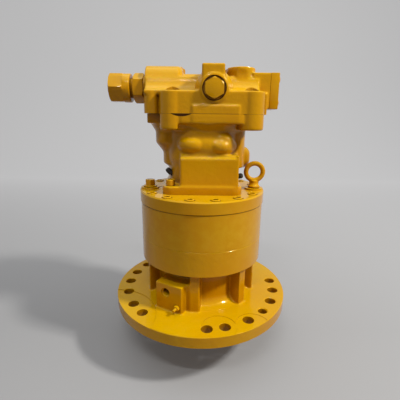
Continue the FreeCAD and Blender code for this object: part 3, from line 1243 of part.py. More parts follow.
# Side fitting: an adapter screwed into the left port and a swivel nut on its nose.
adapter_hex_left = "cover_left_face - adapter_collar_width - adapter_hex_width"
adapter_solid = fuse([
    cylinder("adapter_stem", "adapter_stem_length", (left_face, "0", "port_axis"), TO_RIGHT),
    cylinder("adapter_collar", "adapter_collar_width", (left_face, "0", "port_axis"), TO_LEFT),
    hexagon("adapter_flats", "adapter_hex_width", ("cover_left_face - adapter_collar_width", "0", "port_axis"),
            TO_LEFT),
    cylinder("adapter_neck", "cover_left_face - adapter_end", (left_face, "0", "port_axis"), TO_LEFT),
    cylinder("adapter_lip", "adapter_lip_width", ("nut_step - nut_clearance", "0", "port_axis"), TO_LEFT),
])
keep(cut(adapter_solid, [cylinder("adapter_bore", "120", ("adapter_end - 5", "0", "port_axis"), TO_RIGHT)]),
     "side_adapter")
nut_solid = fuse([
    hexagon("nut_flats", "nut_step - nut_left", ("nut_left", "0", "port_axis"), TO_RIGHT, True),
    cylinder("nut_round", "nut_right - nut_step", ("nut_step", "0", "port_axis"), TO_RIGHT),
])
keep(cut(nut_solid, [
    cylinder("nut_thread", "nut_thread_end - nut_left + 1", ("nut_left - 1", "0", "port_axis"), TO_RIGHT),
    cylinder("nut_groove", "nut_step - nut_thread_end", ("nut_thread_end", "0", "port_axis"), TO_RIGHT),
    cylinder("adapter_neck + nut_clearance", "nut_right - nut_step + 2", ("nut_step - 1", "0", "port_axis"),
             TO_RIGHT),
]), "swivel_nut")

# Lifting eye: a forged ring on a collar, with its stem screwed into the cover plate.
eye_across, eye_along = on_flange("eye_angle", "lift_circle")
lift_seat = deck + " + lift_boss_height"
eye_ring = doc.addObject("Part::Torus", "eye_ring")
eye_ring.setExpression("Radius1", formula("(eye_outer + eye_inner) / 2"))
eye_ring.setExpression("Radius2", formula("(eye_outer - eye_inner) / 2"))
place(eye_ring, (eye_across, eye_along, lift_seat + " - lift_boss_height + eye_height"), TO_FRONT)
keep(fuse([
    eye_ring,
    cone("eye_collar", "eye_neck", "eye_collar_height + 3", (eye_across, eye_along, lift_seat)),
    cylinder("eye_neck", "eye_height - lift_boss_height - eye_inner - 1", (eye_across, eye_along, lift_seat)),
    cylinder("lift_thread", "lift_thread_depth + lift_boss_height - 1",
             (eye_across, eye_along, deck + " - lift_thread_depth + 1")),
]), "eye_bolt")

# A hexagon plug closes the second lifting hole.
plug_across, plug_along = on_flange("lift_plug_angle", "lift_circle")
keep(fuse([
    cylinder("lift_plug_flange", "lift_plug_flange_height", (plug_across, plug_along, lift_seat)),
    hexagon("lift_plug_flats", "lift_plug_head", (plug_across, plug_along, lift_seat)),
    cylinder("lift_thread", "lift_thread_depth + lift_boss_height - 1",
             (plug_across, plug_along, deck + " - lift_thread_depth + 1")),
]), "lift_hole_plug")

# Grease nipple for the lower bearing, in the corner of the square boss.
OUT_OF_BOSS = Rotation(Vector(0, 0, 1), size("boss_angle")).multiply(TO_RIGHT)
nipple_at = on_boss("nipple_hole_side", "nipple_hole_height")
keep(fuse([
    cylinder("nipple_radius", "nipple_hole_depth - 1", nipple_at, INTO_BOSS),
    hexagon("nipple_flats", "nipple_hex", nipple_at, OUT_OF_BOSS),
    cylinder("nipple_tip", "nipple_hex + nipple_tip_length", nipple_at, OUT_OF_BOSS),
]), "grease_nipple")

doc.recompute()
for thing in doc.Objects:
    bad = [state for state in thing.State if state in ("Invalid", "Error")]
    if bad:
        raise RuntimeError("%s failed: %s %s" % (thing.Label, bad, thing.getStatusString()))
for thing in nodes:
    if thing.Shape.isNull() or not thing.Shape.isValid():
        raise RuntimeError("%s has no valid shape" % thing.Label)

os.makedirs("parts", exist_ok=True)
for thing in nodes:
    thing.Shape.exportStep("parts/%s.step" % thing.Label)
print(len(nodes), "nodes written")
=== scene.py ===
import math

import bmesh
import bpy
from mathutils import Matrix, Vector


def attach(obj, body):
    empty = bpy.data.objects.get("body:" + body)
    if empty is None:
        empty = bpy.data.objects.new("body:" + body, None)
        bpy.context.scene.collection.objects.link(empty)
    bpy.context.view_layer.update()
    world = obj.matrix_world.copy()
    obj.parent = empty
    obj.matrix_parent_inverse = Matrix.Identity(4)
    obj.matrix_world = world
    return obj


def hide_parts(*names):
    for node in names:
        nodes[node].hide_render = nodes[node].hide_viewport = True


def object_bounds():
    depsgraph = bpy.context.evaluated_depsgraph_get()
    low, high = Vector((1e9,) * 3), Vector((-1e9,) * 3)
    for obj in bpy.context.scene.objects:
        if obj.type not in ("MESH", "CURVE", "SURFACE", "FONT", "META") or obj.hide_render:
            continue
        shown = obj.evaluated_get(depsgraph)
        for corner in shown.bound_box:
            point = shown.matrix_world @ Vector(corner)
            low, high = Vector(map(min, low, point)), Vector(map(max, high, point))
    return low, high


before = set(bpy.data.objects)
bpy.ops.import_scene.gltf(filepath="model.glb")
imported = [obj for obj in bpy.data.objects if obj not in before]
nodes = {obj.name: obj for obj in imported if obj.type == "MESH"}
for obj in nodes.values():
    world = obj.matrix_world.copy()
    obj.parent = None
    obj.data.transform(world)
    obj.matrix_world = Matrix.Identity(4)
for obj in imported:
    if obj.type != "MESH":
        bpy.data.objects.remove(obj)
cad_low, cad_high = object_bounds()
MM = 0.001

# Studio: a pale floor under the pinion that curves up into a pale wall and glows more
# the further it lies behind the part. It is seen pale, but throws little light back up.
# A lamp on the right casts the band's shadow; a ceiling panel and a tube lamp fill in.
floor_height = cad_low[2]
paper_colour = (0.40, 0.40, 0.405, 1)
paper_colour_for_bounces = (0.16, 0.16, 0.16, 1)
paper_glow_near = 0.04
paper_glow_far = 0.36
paper_glow_share = 0.4
paper_glow_reach = 1.9


def seen_rays(tree):
    """1 for rays that show a thing straight, mirrored or through glass, 0 for all others."""
    ray_kind = tree.nodes.new("ShaderNodeLightPath")
    seen = ray_kind.outputs["Is Camera Ray"]
    for label in ("Is Glossy Ray", "Is Transmission Ray"):
        either = tree.nodes.new("ShaderNodeMath")
        either.operation = "MAXIMUM"
        tree.links.new(seen, either.inputs[0])
        tree.links.new(ray_kind.outputs[label], either.inputs[1])
        seen = either.outputs[0]
    return seen


pale = bpy.data.materials.new("pale_studio_paper")
pale.use_nodes = True
paper_tree = pale.node_tree
pale_shader = paper_tree.nodes["Principled BSDF"]
pale_shader.inputs["Roughness"].default_value = 0.9
pale_shader.inputs["Specular IOR Level"].default_value = 0.2
pale_shader.inputs["Emission Color"].default_value = (1.0, 0.995, 1.0, 1)
paper_seen = seen_rays(paper_tree)
paper_mix = paper_tree.nodes.new("ShaderNodeMixRGB")
paper_mix.inputs["Color1"].default_value = paper_colour_for_bounces
paper_mix.inputs["Color2"].default_value = paper_colour
paper_tree.links.new(paper_seen, paper_mix.inputs["Fac"])
paper_tree.links.new(paper_mix.outputs["Color"], pale_shader.inputs["Base Color"])
paper_place = paper_tree.nodes.new("ShaderNodeTexCoord")
paper_spot = paper_tree.nodes.new("ShaderNodeSeparateXYZ")
paper_tree.links.new(paper_place.outputs["Object"], paper_spot.inputs[0])
away_from_part = paper_tree.nodes.new("ShaderNodeMapRange")
away_from_part.inputs["From Max"].default_value = paper_glow_reach
away_from_part.inputs["To Min"].default_value = paper_glow_near
away_from_part.inputs["To Max"].default_value = paper_glow_far
paper_tree.links.new(paper_spot.outputs["Y"], away_from_part.inputs["Value"])
glow = paper_tree.nodes.new("ShaderNodeMath")
glow.operation = "MULTIPLY"
paper_tree.links.new(away_from_part.outputs["Result"], glow.inputs[1])
share_of_glow = paper_tree.nodes.new("ShaderNodeMath")
share_of_glow.operation = "MULTIPLY_ADD"
share_of_glow.inputs[1].default_value = 1 - paper_glow_share
share_of_glow.inputs[2].default_value = paper_glow_share
paper_tree.links.new(paper_seen, share_of_glow.inputs[0])
paper_tree.links.new(share_of_glow.outputs[0], glow.inputs[0])
paper_tree.links.new(glow.outputs[0], pale_shader.inputs["Emission Strength"])

sweep_radius = 1.2
wall_distance = 3.2
sweep_steps = 16
sweep = bmesh.new()
profile = [(-6.0, 0.0), (wall_distance - sweep_radius, 0.0)]
for step in range(1, sweep_steps + 1):
    turn = step / sweep_steps * math.pi / 2
    profile.append((wall_distance - sweep_radius + sweep_radius * math.sin(turn),
                    sweep_radius - sweep_radius * math.cos(turn)))
profile.append((wall_distance, 5.0))
left_side = [sweep.verts.new((-7.0, along, floor_height + up)) for along, up in profile]
right_side = [sweep.verts.new((7.0, along, floor_height + up)) for along, up in profile]
for index in range(len(profile) - 1):
    sweep.faces.new((left_side[index], right_side[index], right_side[index + 1], left_side[index + 1]))
paper_mesh = bpy.data.meshes.new("studio_paper")
sweep.to_mesh(paper_mesh)
sweep.free()
paper_mesh.shade_smooth()
paper_mesh.materials.append(pale)
paper = bpy.data.objects.new("studio_paper", paper_mesh)
bpy.context.scene.collection.objects.link(paper)

sky_for_lighting = 0.15
sky_as_seen = 0.5
world = bpy.data.worlds.new("studio_sky")
bpy.context.scene.world = world
world.use_nodes = True
sky_level = world.node_tree.nodes.new("ShaderNodeMapRange")
sky_level.inputs["To Min"].default_value = sky_for_lighting
sky_level.inputs["To Max"].default_value = sky_as_seen
sky_light = world.node_tree.nodes["Background"]
sky_light.inputs["Color"].default_value = (0.97, 0.98, 1.0, 1)
world.node_tree.links.new(seen_rays(world.node_tree), sky_level.inputs["Value"])
world.node_tree.links.new(sky_level.outputs["Result"], sky_light.inputs["Strength"])
middle_of_part = Vector((0, 0, 0.25))


def lamp(name, place, width, height, watts, colour):
    light = bpy.data.lights.new(name, "AREA")
    light.shape = "RECTANGLE"
    light.size = width
    light.size_y = height
    light.energy = watts
    light.color = colour
    holder = bpy.data.objects.new(name, light)
    holder.location = place
    holder.rotation_euler = (middle_of_part - Vector(place)).to_track_quat("-Z", "Y").to_euler()
    bpy.context.scene.collection.objects.link(holder)


lamp("key_lamp", (1.78, -0.754, 1.989), 0.26, 0.26, 53, (1.0, 0.975, 0.93))
lamp("ceiling_panel", (-0.25, -0.35, 2.5), 2.4, 2.4, 20, (0.97, 0.985, 1.0))
lamp("ceiling_tube", (-0.2, -1.5, 2.3), 1.1, 0.05, 12, (1.0, 0.99, 0.97))

# Camera: a phone held level with the valve cover and tipped down at the flange.
pixel_focal = 300.177
picture_side = 400
tip = 0.259
roll = -0.0124
camera_place = Vector((-3.82, -638.84, 394.29)) * MM
camera_data = bpy.data.cameras.new("camera")
camera_data.sensor_width = 36.0
camera_data.lens = 36.0 * pixel_focal / picture_side
camera_data.clip_start = 0.01
camera = bpy.data.objects.new("camera", camera_data)
level_right = Vector((1, 0, 0))
level_up = Vector((0, math.sin(tip), math.cos(tip)))
backward = Vector((0, -math.cos(tip), math.sin(tip)))
right = level_right * math.cos(roll) - level_up * math.sin(roll)
upward = level_right * math.sin(roll) + level_up * math.cos(roll)
camera.matrix_world = Matrix((
    (right.x, upward.x, backward.x, camera_place.x),
    (right.y, upward.y, backward.y, camera_place.y),
    (right.z, upward.z, backward.z, camera_place.z),
    (0, 0, 0, 1),
))
bpy.context.scene.collection.objects.link(camera)
bpy.context.scene.camera = camera

# Lower case: a grey iron casting with a turned flange, spigot and band, eight cast
# ribs round the neck and a square boss on the front. It is sprayed yellow all over.


def new_group(name, inputs, outputs):
    """An empty shader node group with named inputs (name, kind, value) and outputs."""
    group = bpy.data.node_groups.new(name, "ShaderNodeTree")
    for label, kind, value in inputs:
        socket = group.interface.new_socket(label, in_out="INPUT", socket_type="NodeSocket" + kind)
        socket.default_value = value
    for label, kind in outputs:
        group.interface.new_socket(label, in_out="OUTPUT", socket_type="NodeSocket" + kind)
    return group, group.nodes.new("NodeGroupInput"), group.nodes.new("NodeGroupOutput")


def noise(group, place, scale, detail=3.0, roughness=0.55):
    texture = group.nodes.new("ShaderNodeTexNoise")
    group.links.new(place, texture.inputs["Vector"])
    if isinstance(scale, (int, float)):
        texture.inputs["Scale"].default_value = scale
    else:
        group.links.new(scale, texture.inputs["Scale"])
    texture.inputs["Detail"].default_value = detail
    texture.inputs["Roughness"].default_value = roughness
    return texture.outputs["Fac"]


def calculate(group, how, first, second=None, third=None):
    """A math node between sockets or numbers."""
    sum_node = group.nodes.new("ShaderNodeMath")
    sum_node.operation = how
    for index, value in enumerate((first, second, third)):
        if value is None:
            continue
        if isinstance(value, (int, float)):
            sum_node.inputs[index].default_value = value
        else:
            group.links.new(value, sum_node.inputs[index])
    return sum_node.outputs[0]


def spread_out(group, value, low, high, start=0.0, end=1.0):
    """Map a value from low..high to start..end and hold it there."""
    mapping = group.nodes.new("ShaderNodeMapRange")
    group.links.new(value, mapping.inputs["Value"])
    for label, number in (("From Min", low), ("From Max", high), ("To Min", start), ("To Max", end)):
        mapping.inputs[label].default_value = number
    return mapping.outputs["Result"]


def blend_colours(group, share, first, second):
    mix = group.nodes.new("ShaderNodeMix")
    mix.data_type = "RGBA"
    if isinstance(share, (int, float)):
        mix.inputs["Factor"].default_value = share
    else:
        group.links.new(share, mix.inputs["Factor"])
    for label, value in (("A", first), ("B", second)):
        socket = [item for item in mix.inputs if item.name == label and item.type == "RGBA"][0]
        if isinstance(value, tuple):
            socket.default_value = value
        else:
            group.links.new(value, socket)
    return [item for item in mix.outputs if item.type == "RGBA"][0]


# Sand grain under thick enamel: soft lumps, finer pits, and the enamel's own orange
# peel. Gives a height for a Bump node.
grain, grain_in, grain_out = new_group(
    "cast_grain",
    [("Lumps", "Float", 0.5), ("Pits", "Float", 0.3), ("Peel", "Float", 0.2)],
    [("Height", "Float")])
grain_place = grain.nodes.new("ShaderNodeTexCoord").outputs["Object"]
lumps = calculate(grain, "MULTIPLY", noise(grain, grain_place, 95.0, 2.0), grain_in.outputs["Lumps"])
pits = calculate(grain, "MULTIPLY", noise(grain, grain_place, 420.0, 3.0), grain_in.outputs["Pits"])
peel = calculate(grain, "MULTIPLY", noise(grain, grain_place, 900.0, 1.0), grain_in.outputs["Peel"])
grain_height = calculate(grain, "ADD", calculate(grain, "ADD", lumps, pits), peel)
grain.links.new(grain_height, grain_out.inputs["Height"])

# Thick yellow enamel: it drifts at random between two yellows and turns to the deeper
# yellow on side and downward faces as painted shade. It is darkened in corners and seams
# (dark joints, partly painted shade) and in recesses under overhangs (painted shade), rubs
# thin and pale on outer edges, and holds a little dust on top.
enamel, enamel_in, enamel_out = new_group(
    "enamel_colour",
    [("Paint", "Color", (0.74, 0.425, 0.0, 1)), ("Deep Paint And Side Shade", "Color", (0.70, 0.30, 0.0, 1)),
     ("Seam", "Color", (0.05, 0.02, 0.003, 1)), ("Seam Width", "Float", 0.0035),
     ("Shelter", "Color", (0.17, 0.052, 0.0, 1)), ("Shelter Width", "Float", 0.08),
     ("Edge Rub", "Float", 0.25), ("Dust", "Float", 0.05)],
    [("Color", "Color"), ("Roughness", "Float")])
enamel_place = enamel.nodes.new("ShaderNodeTexCoord").outputs["Object"]
drift = spread_out(enamel, noise(enamel, enamel_place, 9.0, 3.0), 0.35, 0.68, 0.0, 0.34)
speckle = spread_out(enamel, noise(enamel, enamel_place, 260.0, 2.0), 0.5, 0.75, 0.0, 0.12)
shape_of = enamel.nodes.new("ShaderNodeNewGeometry")
facing = enamel.nodes.new("ShaderNodeSeparateXYZ")
enamel.links.new(shape_of.outputs["Normal"], facing.inputs["Vector"])
# Side and downward faces get the deeper yellow: painted shade, so tops read lighter.
upright = spread_out(enamel, facing.outputs["Z"], 0.15, 0.85, 0.62, 0.0)
drift_and_side_shade = calculate(enamel, "ADD", calculate(enamel, "ADD", drift, speckle), upright)
painted = blend_colours(enamel, drift_and_side_shade, enamel_in.outputs["Paint"], enamel_in.outputs["Deep Paint And Side Shade"])
rub_patches = spread_out(enamel, noise(enamel, enamel_place, 60.0, 4.0, 0.65), 0.42, 0.7)
outer_edge = spread_out(enamel, shape_of.outputs["Pointiness"], 0.52, 0.62)
rub = calculate(enamel, "MULTIPLY", calculate(enamel, "MULTIPLY", outer_edge, rub_patches),
                enamel_in.outputs["Edge Rub"])
rubbed = blend_colours(enamel, rub, painted, (0.86, 0.54, 0.03, 1))
# Corners, creases and seams within a few millimetres are darkened to the seam colour:
# painted shade, together with the dark joint lines.
hollow = enamel.nodes.new("ShaderNodeAmbientOcclusion")
hollow.samples = 6
enamel.links.new(enamel_in.outputs["Seam Width"], hollow.inputs["Distance"])
crevice_shade_mask = spread_out(enamel, hollow.outputs["AO"], 0.18, 0.62, 1.0, 0.0)
# Side and downward faces in deep recesses and under overhangs are darkened to brown:
# painted shade.
lee = enamel.nodes.new("ShaderNodeAmbientOcclusion")
lee.samples = 6
enamel.links.new(enamel_in.outputs["Shelter Width"], lee.inputs["Distance"])
recess_shade_mask = calculate(enamel, "MULTIPLY", spread_out(enamel, lee.outputs["AO"], 0.15, 0.72, 0.95, 0.0),
                      spread_out(enamel, facing.outputs["Z"], 0.1, 0.75, 1.0, 0.0))
recess_shaded = blend_colours(enamel, recess_shade_mask, rubbed, enamel_in.outputs["Shelter"])
crevice_shaded = blend_colours(enamel, calculate(enamel, "MULTIPLY", crevice_shade_mask, 0.85), recess_shaded,
                       enamel_in.outputs["Seam"])
upward_faces = spread_out(enamel, facing.outputs["Z"], 0.6, 0.98)
dust_patches = spread_out(enamel, noise(enamel, enamel_place, 34.0, 5.0, 0.7), 0.48, 0.72)
dust = calculate(enamel, "MULTIPLY", calculate(enamel, "MULTIPLY", upward_faces, dust_patches),
                 enamel_in.outputs["Dust"])
enamel.links.new(blend_colours(enamel, dust, crevice_shaded, (0.60, 0.40, 0.10, 1)), enamel_out.inputs["Color"])
gloss = spread_out(enamel, noise(enamel, enamel_place, 22.0, 4.0), 0.3, 0.7, 0.13, 0.24)
enamel.links.new(calculate(enamel, "ADD", calculate(enamel, "ADD", gloss, calculate(
    enamel, "MULTIPLY", dust, 0.9)), calculate(enamel, "MULTIPLY", crevice_shade_mask, 0.25)),
    enamel_out.inputs["Roughness"])


def use_group(material, group, **values):
    node = material.node_tree.nodes.new("ShaderNodeGroup")
    node.node_tree = group
    for label, value in values.items():
        node.inputs[label.replace("_", " ")].default_value = value
    return node


def yellow_enamel(name, lumps, pits, peel, depth, edge_rub=0.25, dust=0.05, seam_width=0.0035):
    """Gloss yellow enamel over a surface with the given grain; depth is the bump in metres."""
    material = bpy.data.materials.new(name)
    material.use_nodes = True
    tree = material.node_tree
    shader = tree.nodes["Principled BSDF"]
    colour = use_group(material, enamel, Edge_Rub=edge_rub, Dust=dust, Seam_Width=seam_width)
    tree.links.new(colour.outputs["Color"], shader.inputs["Base Color"])
    tree.links.new(colour.outputs["Roughness"], shader.inputs["Roughness"])
    height = use_group(material, grain, Lumps=lumps, Pits=pits, Peel=peel)
    bump = tree.nodes.new("ShaderNodeBump")
    bump.inputs["Strength"].default_value = 1.0
    bump.inputs["Distance"].default_value = depth
    tree.links.new(height.outputs["Height"], bump.inputs["Height"])
    tree.links.new(bump.outputs["Normal"], shader.inputs["Normal"])
    shader.inputs["Specular IOR Level"].default_value = 0.22
    shader.inputs["Specular Tint"].default_value = (1.0, 0.62, 0.08, 1)
    shader.inputs["Coat Weight"].default_value = 0.28
    shader.inputs["Coat Roughness"].default_value = 0.04
    return material


cast_enamel = yellow_enamel("enamel_on_casting", 0.8, 0.22, 0.05, 0.0007)
machined_enamel = yellow_enamel("enamel_on_machined_iron", 0.25, 0.12, 0.05, 0.0003)


def new_mesh(shape):
    """Turn a bmesh into a mesh with outward faces."""
    bmesh.ops.recalc_face_normals(shape, faces=shape.faces)
    mesh = bpy.data.meshes.new("shape")
    shape.to_mesh(mesh)
    shape.free()
    return mesh


def turned(outline, spot=(0, 0, 0), turn=Matrix(), steps=96):
    """A solid turned about its own upright axis from (radius, height) pairs in millimetres."""
    shape = bmesh.new()
    rings = []
    for radius, height in outline:
        count = steps if radius > 1e-6 else 1
        rings.append([
            shape.verts.new((radius * MM * math.cos(2 * math.pi * step / steps),
                             radius * MM * math.sin(2 * math.pi * step / steps), height * MM))
            for step in range(count)])
    pairs = list(zip(rings, rings[1:] + rings[:1]))
    if len(rings[0]) == 1 and len(rings[-1]) == 1:
        pairs.pop()
    for first, second in pairs:
        for step in range(steps):
            corners = [first[step % len(first)], first[(step + 1) % len(first)],
                       second[(step + 1) % len(second)], second[step % len(second)]]
            corners = list(dict.fromkeys(corners))
            if len(corners) > 2:
                shape.faces.new(corners)
    shape.transform(Matrix.Translation(Vector(spot) * MM) @ turn)
    return shape


def drum(radius, low, high, spot=(0, 0, 0), turn=Matrix(), steps=64):
    """A plain round form, used to add to a casting or to cut it."""
    return turned([(0, low), (radius, low), (radius, high), (0, high)], spot, turn, steps)


def block(low, high, turn=Matrix()):
    """A square form between two corners in millimetres."""
    shape = bmesh.new()
    bmesh.ops.create_cube(shape, size=1.0)
    for corner in shape.verts:
        corner.co = Vector([(low[axis] if corner.co[axis] < 0 else high[axis]) * MM for axis in range(3)])
    shape.transform(turn)
    return shape


def gathered(shapes):
    """Put several forms in one bmesh, side by side or overlapping."""
    whole = bmesh.new()
    for shape in shapes:
        mesh = new_mesh(shape)
        whole.from_mesh(mesh)
        bpy.data.meshes.remove(mesh)
    return whole


def from_node(name):
    """A copy of a node's solid, with its edges joined."""
    shape = bmesh.new()
    shape.from_mesh(nodes[name].data)
    bmesh.ops.remove_doubles(shape, verts=shape.verts, dist=1e-6)
    return shape


def worked(mesh, steps):
    """Apply modifiers to a mesh: each step is (kind, settings)."""
    holder = bpy.data.objects.new("work", mesh)
    bpy.context.scene.collection.objects.link(holder)
    for kind, settings in steps:
        modifier = holder.modifiers.new(kind.lower(), kind)
        for label, value in settings.items():
            setattr(modifier, label, value)
    graph = bpy.context.evaluated_depsgraph_get()
    result = bpy.data.meshes.new_from_object(holder.evaluated_get(graph))
    bpy.data.objects.remove(holder)
    bpy.data.meshes.remove(mesh)
    return result


def cast(forms, grit, softness, share=0.4):
    """Melt overlapping forms into one casting. grit is the mesh size in millimetres,
    softness the rounds of smoothing, share the part of the faces that is kept."""
    return worked(new_mesh(gathered(forms)), [
        ("REMESH", {"mode": "VOXEL", "voxel_size": grit * MM}),
        ("SMOOTH", {"factor": 0.5, "iterations": softness}),
        ("DECIMATE", {"ratio": share}),
    ])


def machined(mesh, cuts, inside=None, joins=()):
    """Crisp machined faces: stay inside one form, join others on, then take the cuts away."""
    tools = []
    steps = []
    forms = ([(inside, "INTERSECT")] if inside else []) + [(join, "UNION") for join in joins]
    for form, how in forms + [(cut, "DIFFERENCE") for cut in cuts]:
        tool = bpy.data.objects.new("tool", new_mesh(form))
        bpy.context.scene.collection.objects.link(tool)
        tools.append(tool)
        steps.append(("BOOLEAN", {"object": tool, "operation": how, "solver": "MANIFOLD"}))
    result = worked(mesh, steps)
    for tool in tools:
        tool_mesh = tool.data
        bpy.data.objects.remove(tool)
        bpy.data.meshes.remove(tool_mesh)
    return result


def eased(mesh, width, angle=28):
    """Round off the sharp edges by a width in millimetres, as thick paint does."""
    return worked(mesh, [
        ("BEVEL", {"width": width * MM, "segments": 3, "limit_method": "ANGLE",
                   "angle_limit": math.radians(angle), "harden_normals": False}),
    ])


def hexagon(flats, low, high, roll=0.0):
    """A six-sided form; its flats face roll degrees and every 60 degrees from there."""
    shape = bmesh.new()
    rings = []
    for height in (low, high):
        rings.append([
            shape.verts.new((flats / math.sqrt(3) * MM * math.cos(math.radians(roll + 30 + 60 * side)),
                             flats / math.sqrt(3) * MM * math.sin(math.radians(roll + 30 + 60 * side)),
                             height * MM)) for side in range(6)])
    shape.faces.new(rings[0])
    shape.faces.new(rings[1])
    for side in range(6):
        shape.faces.new((rings[0][side], rings[0][(side + 1) % 6], rings[1][(side + 1) % 6], rings[1][side]))
    return shape


def repeated(mesh, places):
    """One mesh with a copy of a small mesh at every place."""
    whole = bmesh.new()
    for place in places:
        first = len(whole.verts)
        whole.from_mesh(mesh)
        whole.verts.ensure_lookup_table()
        bmesh.ops.transform(whole, matrix=place, verts=whole.verts[first:])
    bpy.data.meshes.remove(mesh)
    result = bpy.data.meshes.new("copies")
    whole.to_mesh(result)
    whole.free()
    return result


def moved(x, y, z, turn=Matrix()):
    return Matrix.Translation(Vector((x, y, z)) * MM) @ turn


def set_out(name, mesh, material, sharp=32):
    """A finished piece, smooth but for the edges that are sharper than an angle."""
    mesh.materials.clear()
    mesh.materials.append(material)
    mesh.shade_smooth()
    mesh.set_sharp_from_angle(angle=math.radians(sharp))
    mesh.name = name
    piece = bpy.data.objects.new(name, mesh)
    bpy.context.scene.collection.objects.link(piece)
    return piece


def spot_on_circle(angle, circle, height=0.0):
    return (circle * math.cos(math.radians(angle)), circle * math.sin(math.radians(angle)), height)


flange_top = 24
bolt_circle = 165.5
bolt_hole = 11
hole_lip = 1.2
bolt_angles = (148.5, 164, 179, -165.2, -147.5, -134.5, -86, -74, -56.2, -26.3, -10.6, 4, 49, 64, 79, 92, 106)
jack_angle = -40.9
jack_hole = 8.75
boss_turn = Matrix.Rotation(math.radians(-118), 4, "Z")
along_x = Matrix.Rotation(math.radians(90), 4, "Y")
oil_port_place = Vector((130, -10.5, 63)) * MM
nipple_place = (130, 16.8, 37.3)
neck_radius = 95
foot_radius = 22
rib_angles = (-165, -96, -44, -9, 27, 63, 99, 145)
foot_arc = []
for step in range(7):
    sweep_angle = math.radians(-90 - 15 * step)
    foot_arc.append((neck_radius + foot_radius * (1 + math.cos(sweep_angle)),
                     flange_top + foot_radius * (1 + math.sin(sweep_angle))))
case_forms = [
    turned([(0, -14), (120, -14), (120, 0), (196, 0), (196, flange_top)] + foot_arc + [
        (neck_radius, 98), (103, 106), (127, 106), (134, 111), (134, 164), (0, 164)], steps=128),
    block((87, -34.1, 12), (130, 26.9, 82.5), boss_turn),
    block((87, 20, 12), (114, 38, 82.5), boss_turn),
]
for angle in rib_angles:
    case_forms.append(block((87, -10, 12), (119, 10, 112), Matrix.Rotation(math.radians(angle), 4, "Z")))
case_envelope = turned([
    (0, -8), (113.5, -8), (115, -6.5), (115, 0), (188.8, 0), (190, 1.2), (190, 22.8), (188.8, 24),
    (187, 40), (131, 100), (130, 108), (130, 157.0), (129.2, 157.9), (0, 157.9)], steps=256)
case_cavity = [
    turned([(0, 94), (75.05, 94), (75.05, 132), (102, 132), (102, 170), (0, 170)], steps=128),
    drum(70.05, -20, 55, steps=128),
    drum(62, 40, 110, steps=128),
]
case_cuts = []
for angle in bolt_angles:
    case_cuts.append(turned([(0, -2), (bolt_hole, -2), (bolt_hole, flange_top - hole_lip),
                             (bolt_hole + hole_lip, flange_top + 0.02), (bolt_hole + hole_lip, 26), (0, 26)],
                            spot_on_circle(angle, bolt_circle), steps=48))
case_cuts.append(turned([(0, -2), (jack_hole, -2), (jack_hole, flange_top - 2),
                         (jack_hole + 2, flange_top + 0.02), (jack_hole + 2, 26), (0, 26)],
                        spot_on_circle(jack_angle, bolt_circle), steps=48))
case_drills = gathered(case_cuts)
spot_faces = [
    drum(97, 22.9, 24.6, (-184, -134, 0), steps=160),
    drum(33, 23.3, 24.6, (35, -160, 0), steps=96),
    drum(33, 23.3, 24.6, (99, -152, 0), steps=96),
]
oil_port = turned([(0, -19), (7.5, -19), (7.5, -3.4), (10, -1.2), (10, 4), (0, 4)], (0, 0, 0),
                  boss_turn @ Matrix.Translation(oil_port_place) @ along_x, 40)
nipple_seat = turned([(0, -14), (4, -14), (4, 1), (0, 1)], (0, 0, 0),
                     boss_turn @ moved(*nipple_place, along_x), 32)
case_bores = [case_drills] + spot_faces + case_cavity + [oil_port, nipple_seat]
case_mesh = machined(cast(case_forms, 1.6, 12, 0.35), case_bores, case_envelope)
lower_case = set_out("lower_case_casting", case_mesh, cast_enamel)
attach(lower_case, "housing")
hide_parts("lower_case")

# Motor casing: one grey iron casting with soft lobes between its block and its
# eared flange. Only its foot, its top joint and its bores are machined.
casing_joint = 406
joint_gap = 0.15
deck = 255
ears = ((-57, -58), (89, -58), (-57, 58), (89, 58))
foot_corners = [(across, along) for across in (-62, 62) for along in (-62, 62)]
along_y = Matrix.Rotation(math.radians(90), 4, "X")


def pebble(middle, across, along, up):
    """A smooth rounded lump with its own radius each way, in millimetres."""
    shape = bmesh.new()
    bmesh.ops.create_uvsphere(shape, u_segments=40, v_segments=24, radius=1.0)
    shape.transform(Matrix.Translation(Vector(middle) * MM) @ Matrix.Diagonal((
        across * MM, along * MM, up * MM, 1)))
    return shape


front_hollow = block((-46, -100, 326), (66, -70.6, 388))
hollowed = bmesh.new()
hollowed.from_mesh(machined(new_mesh(from_node("motor_casing")), [front_hollow]))
casing_forms = [
    hollowed,
    drum(70.4, 262, 400),
    pebble((8, -50, 348), 58, 24.5, 26),
    pebble((-19, -50, 349), 30, 29.5, 19),
    pebble((33, -50, 347), 27, 29, 18),
    block((-42, -80.5, 388), (72, -40, 412)),
    turned([(0, 374), (70.6, 374), (82, 389), (82, 392), (0, 392)], (8, 0, 0), steps=96),
    drum(60, 244, 300),
    block((-78, -58, 248), (78, 58, 262)),
    block((-58, -78, 248), (58, 78, 262)),
    block((-108, -40, 400), (111, 58, 412)),
    block((-57, -78, 400), (89, 78, 412)),
]
for across in (-58, 58):
    for along in (-58, 58):
        casing_forms.append(drum(20, 248, 262, (across, along, 0)))
for across, along in ears:
    casing_forms.append(drum(24, 400, 412, (across, along, 0)))
casing_envelope = block((-130, -100, deck), (130, 100, casing_joint - joint_gap))
casing_cavity = turned([
    (0, 240), (24, 240), (24, 258), (31.05, 258), (31.05, 269), (37.5, 269), (37.5, 272), (45.05, 272),
    (45.05, 296), (58, 296), (58, 352), (66.5, 352), (66.5, 420), (0, 420)], steps=128)
ear_holes = gathered([drum(7.05, 378, 420, (across, along, 0), steps=32) for across, along in ears])
foot_holes = gathered([drum(6.5, 240, 272, (*corner, 0), steps=32) for corner in foot_corners])
screw_pockets = gathered([drum(10, 271, 321, (*corner, 0), steps=40) for corner in foot_corners])
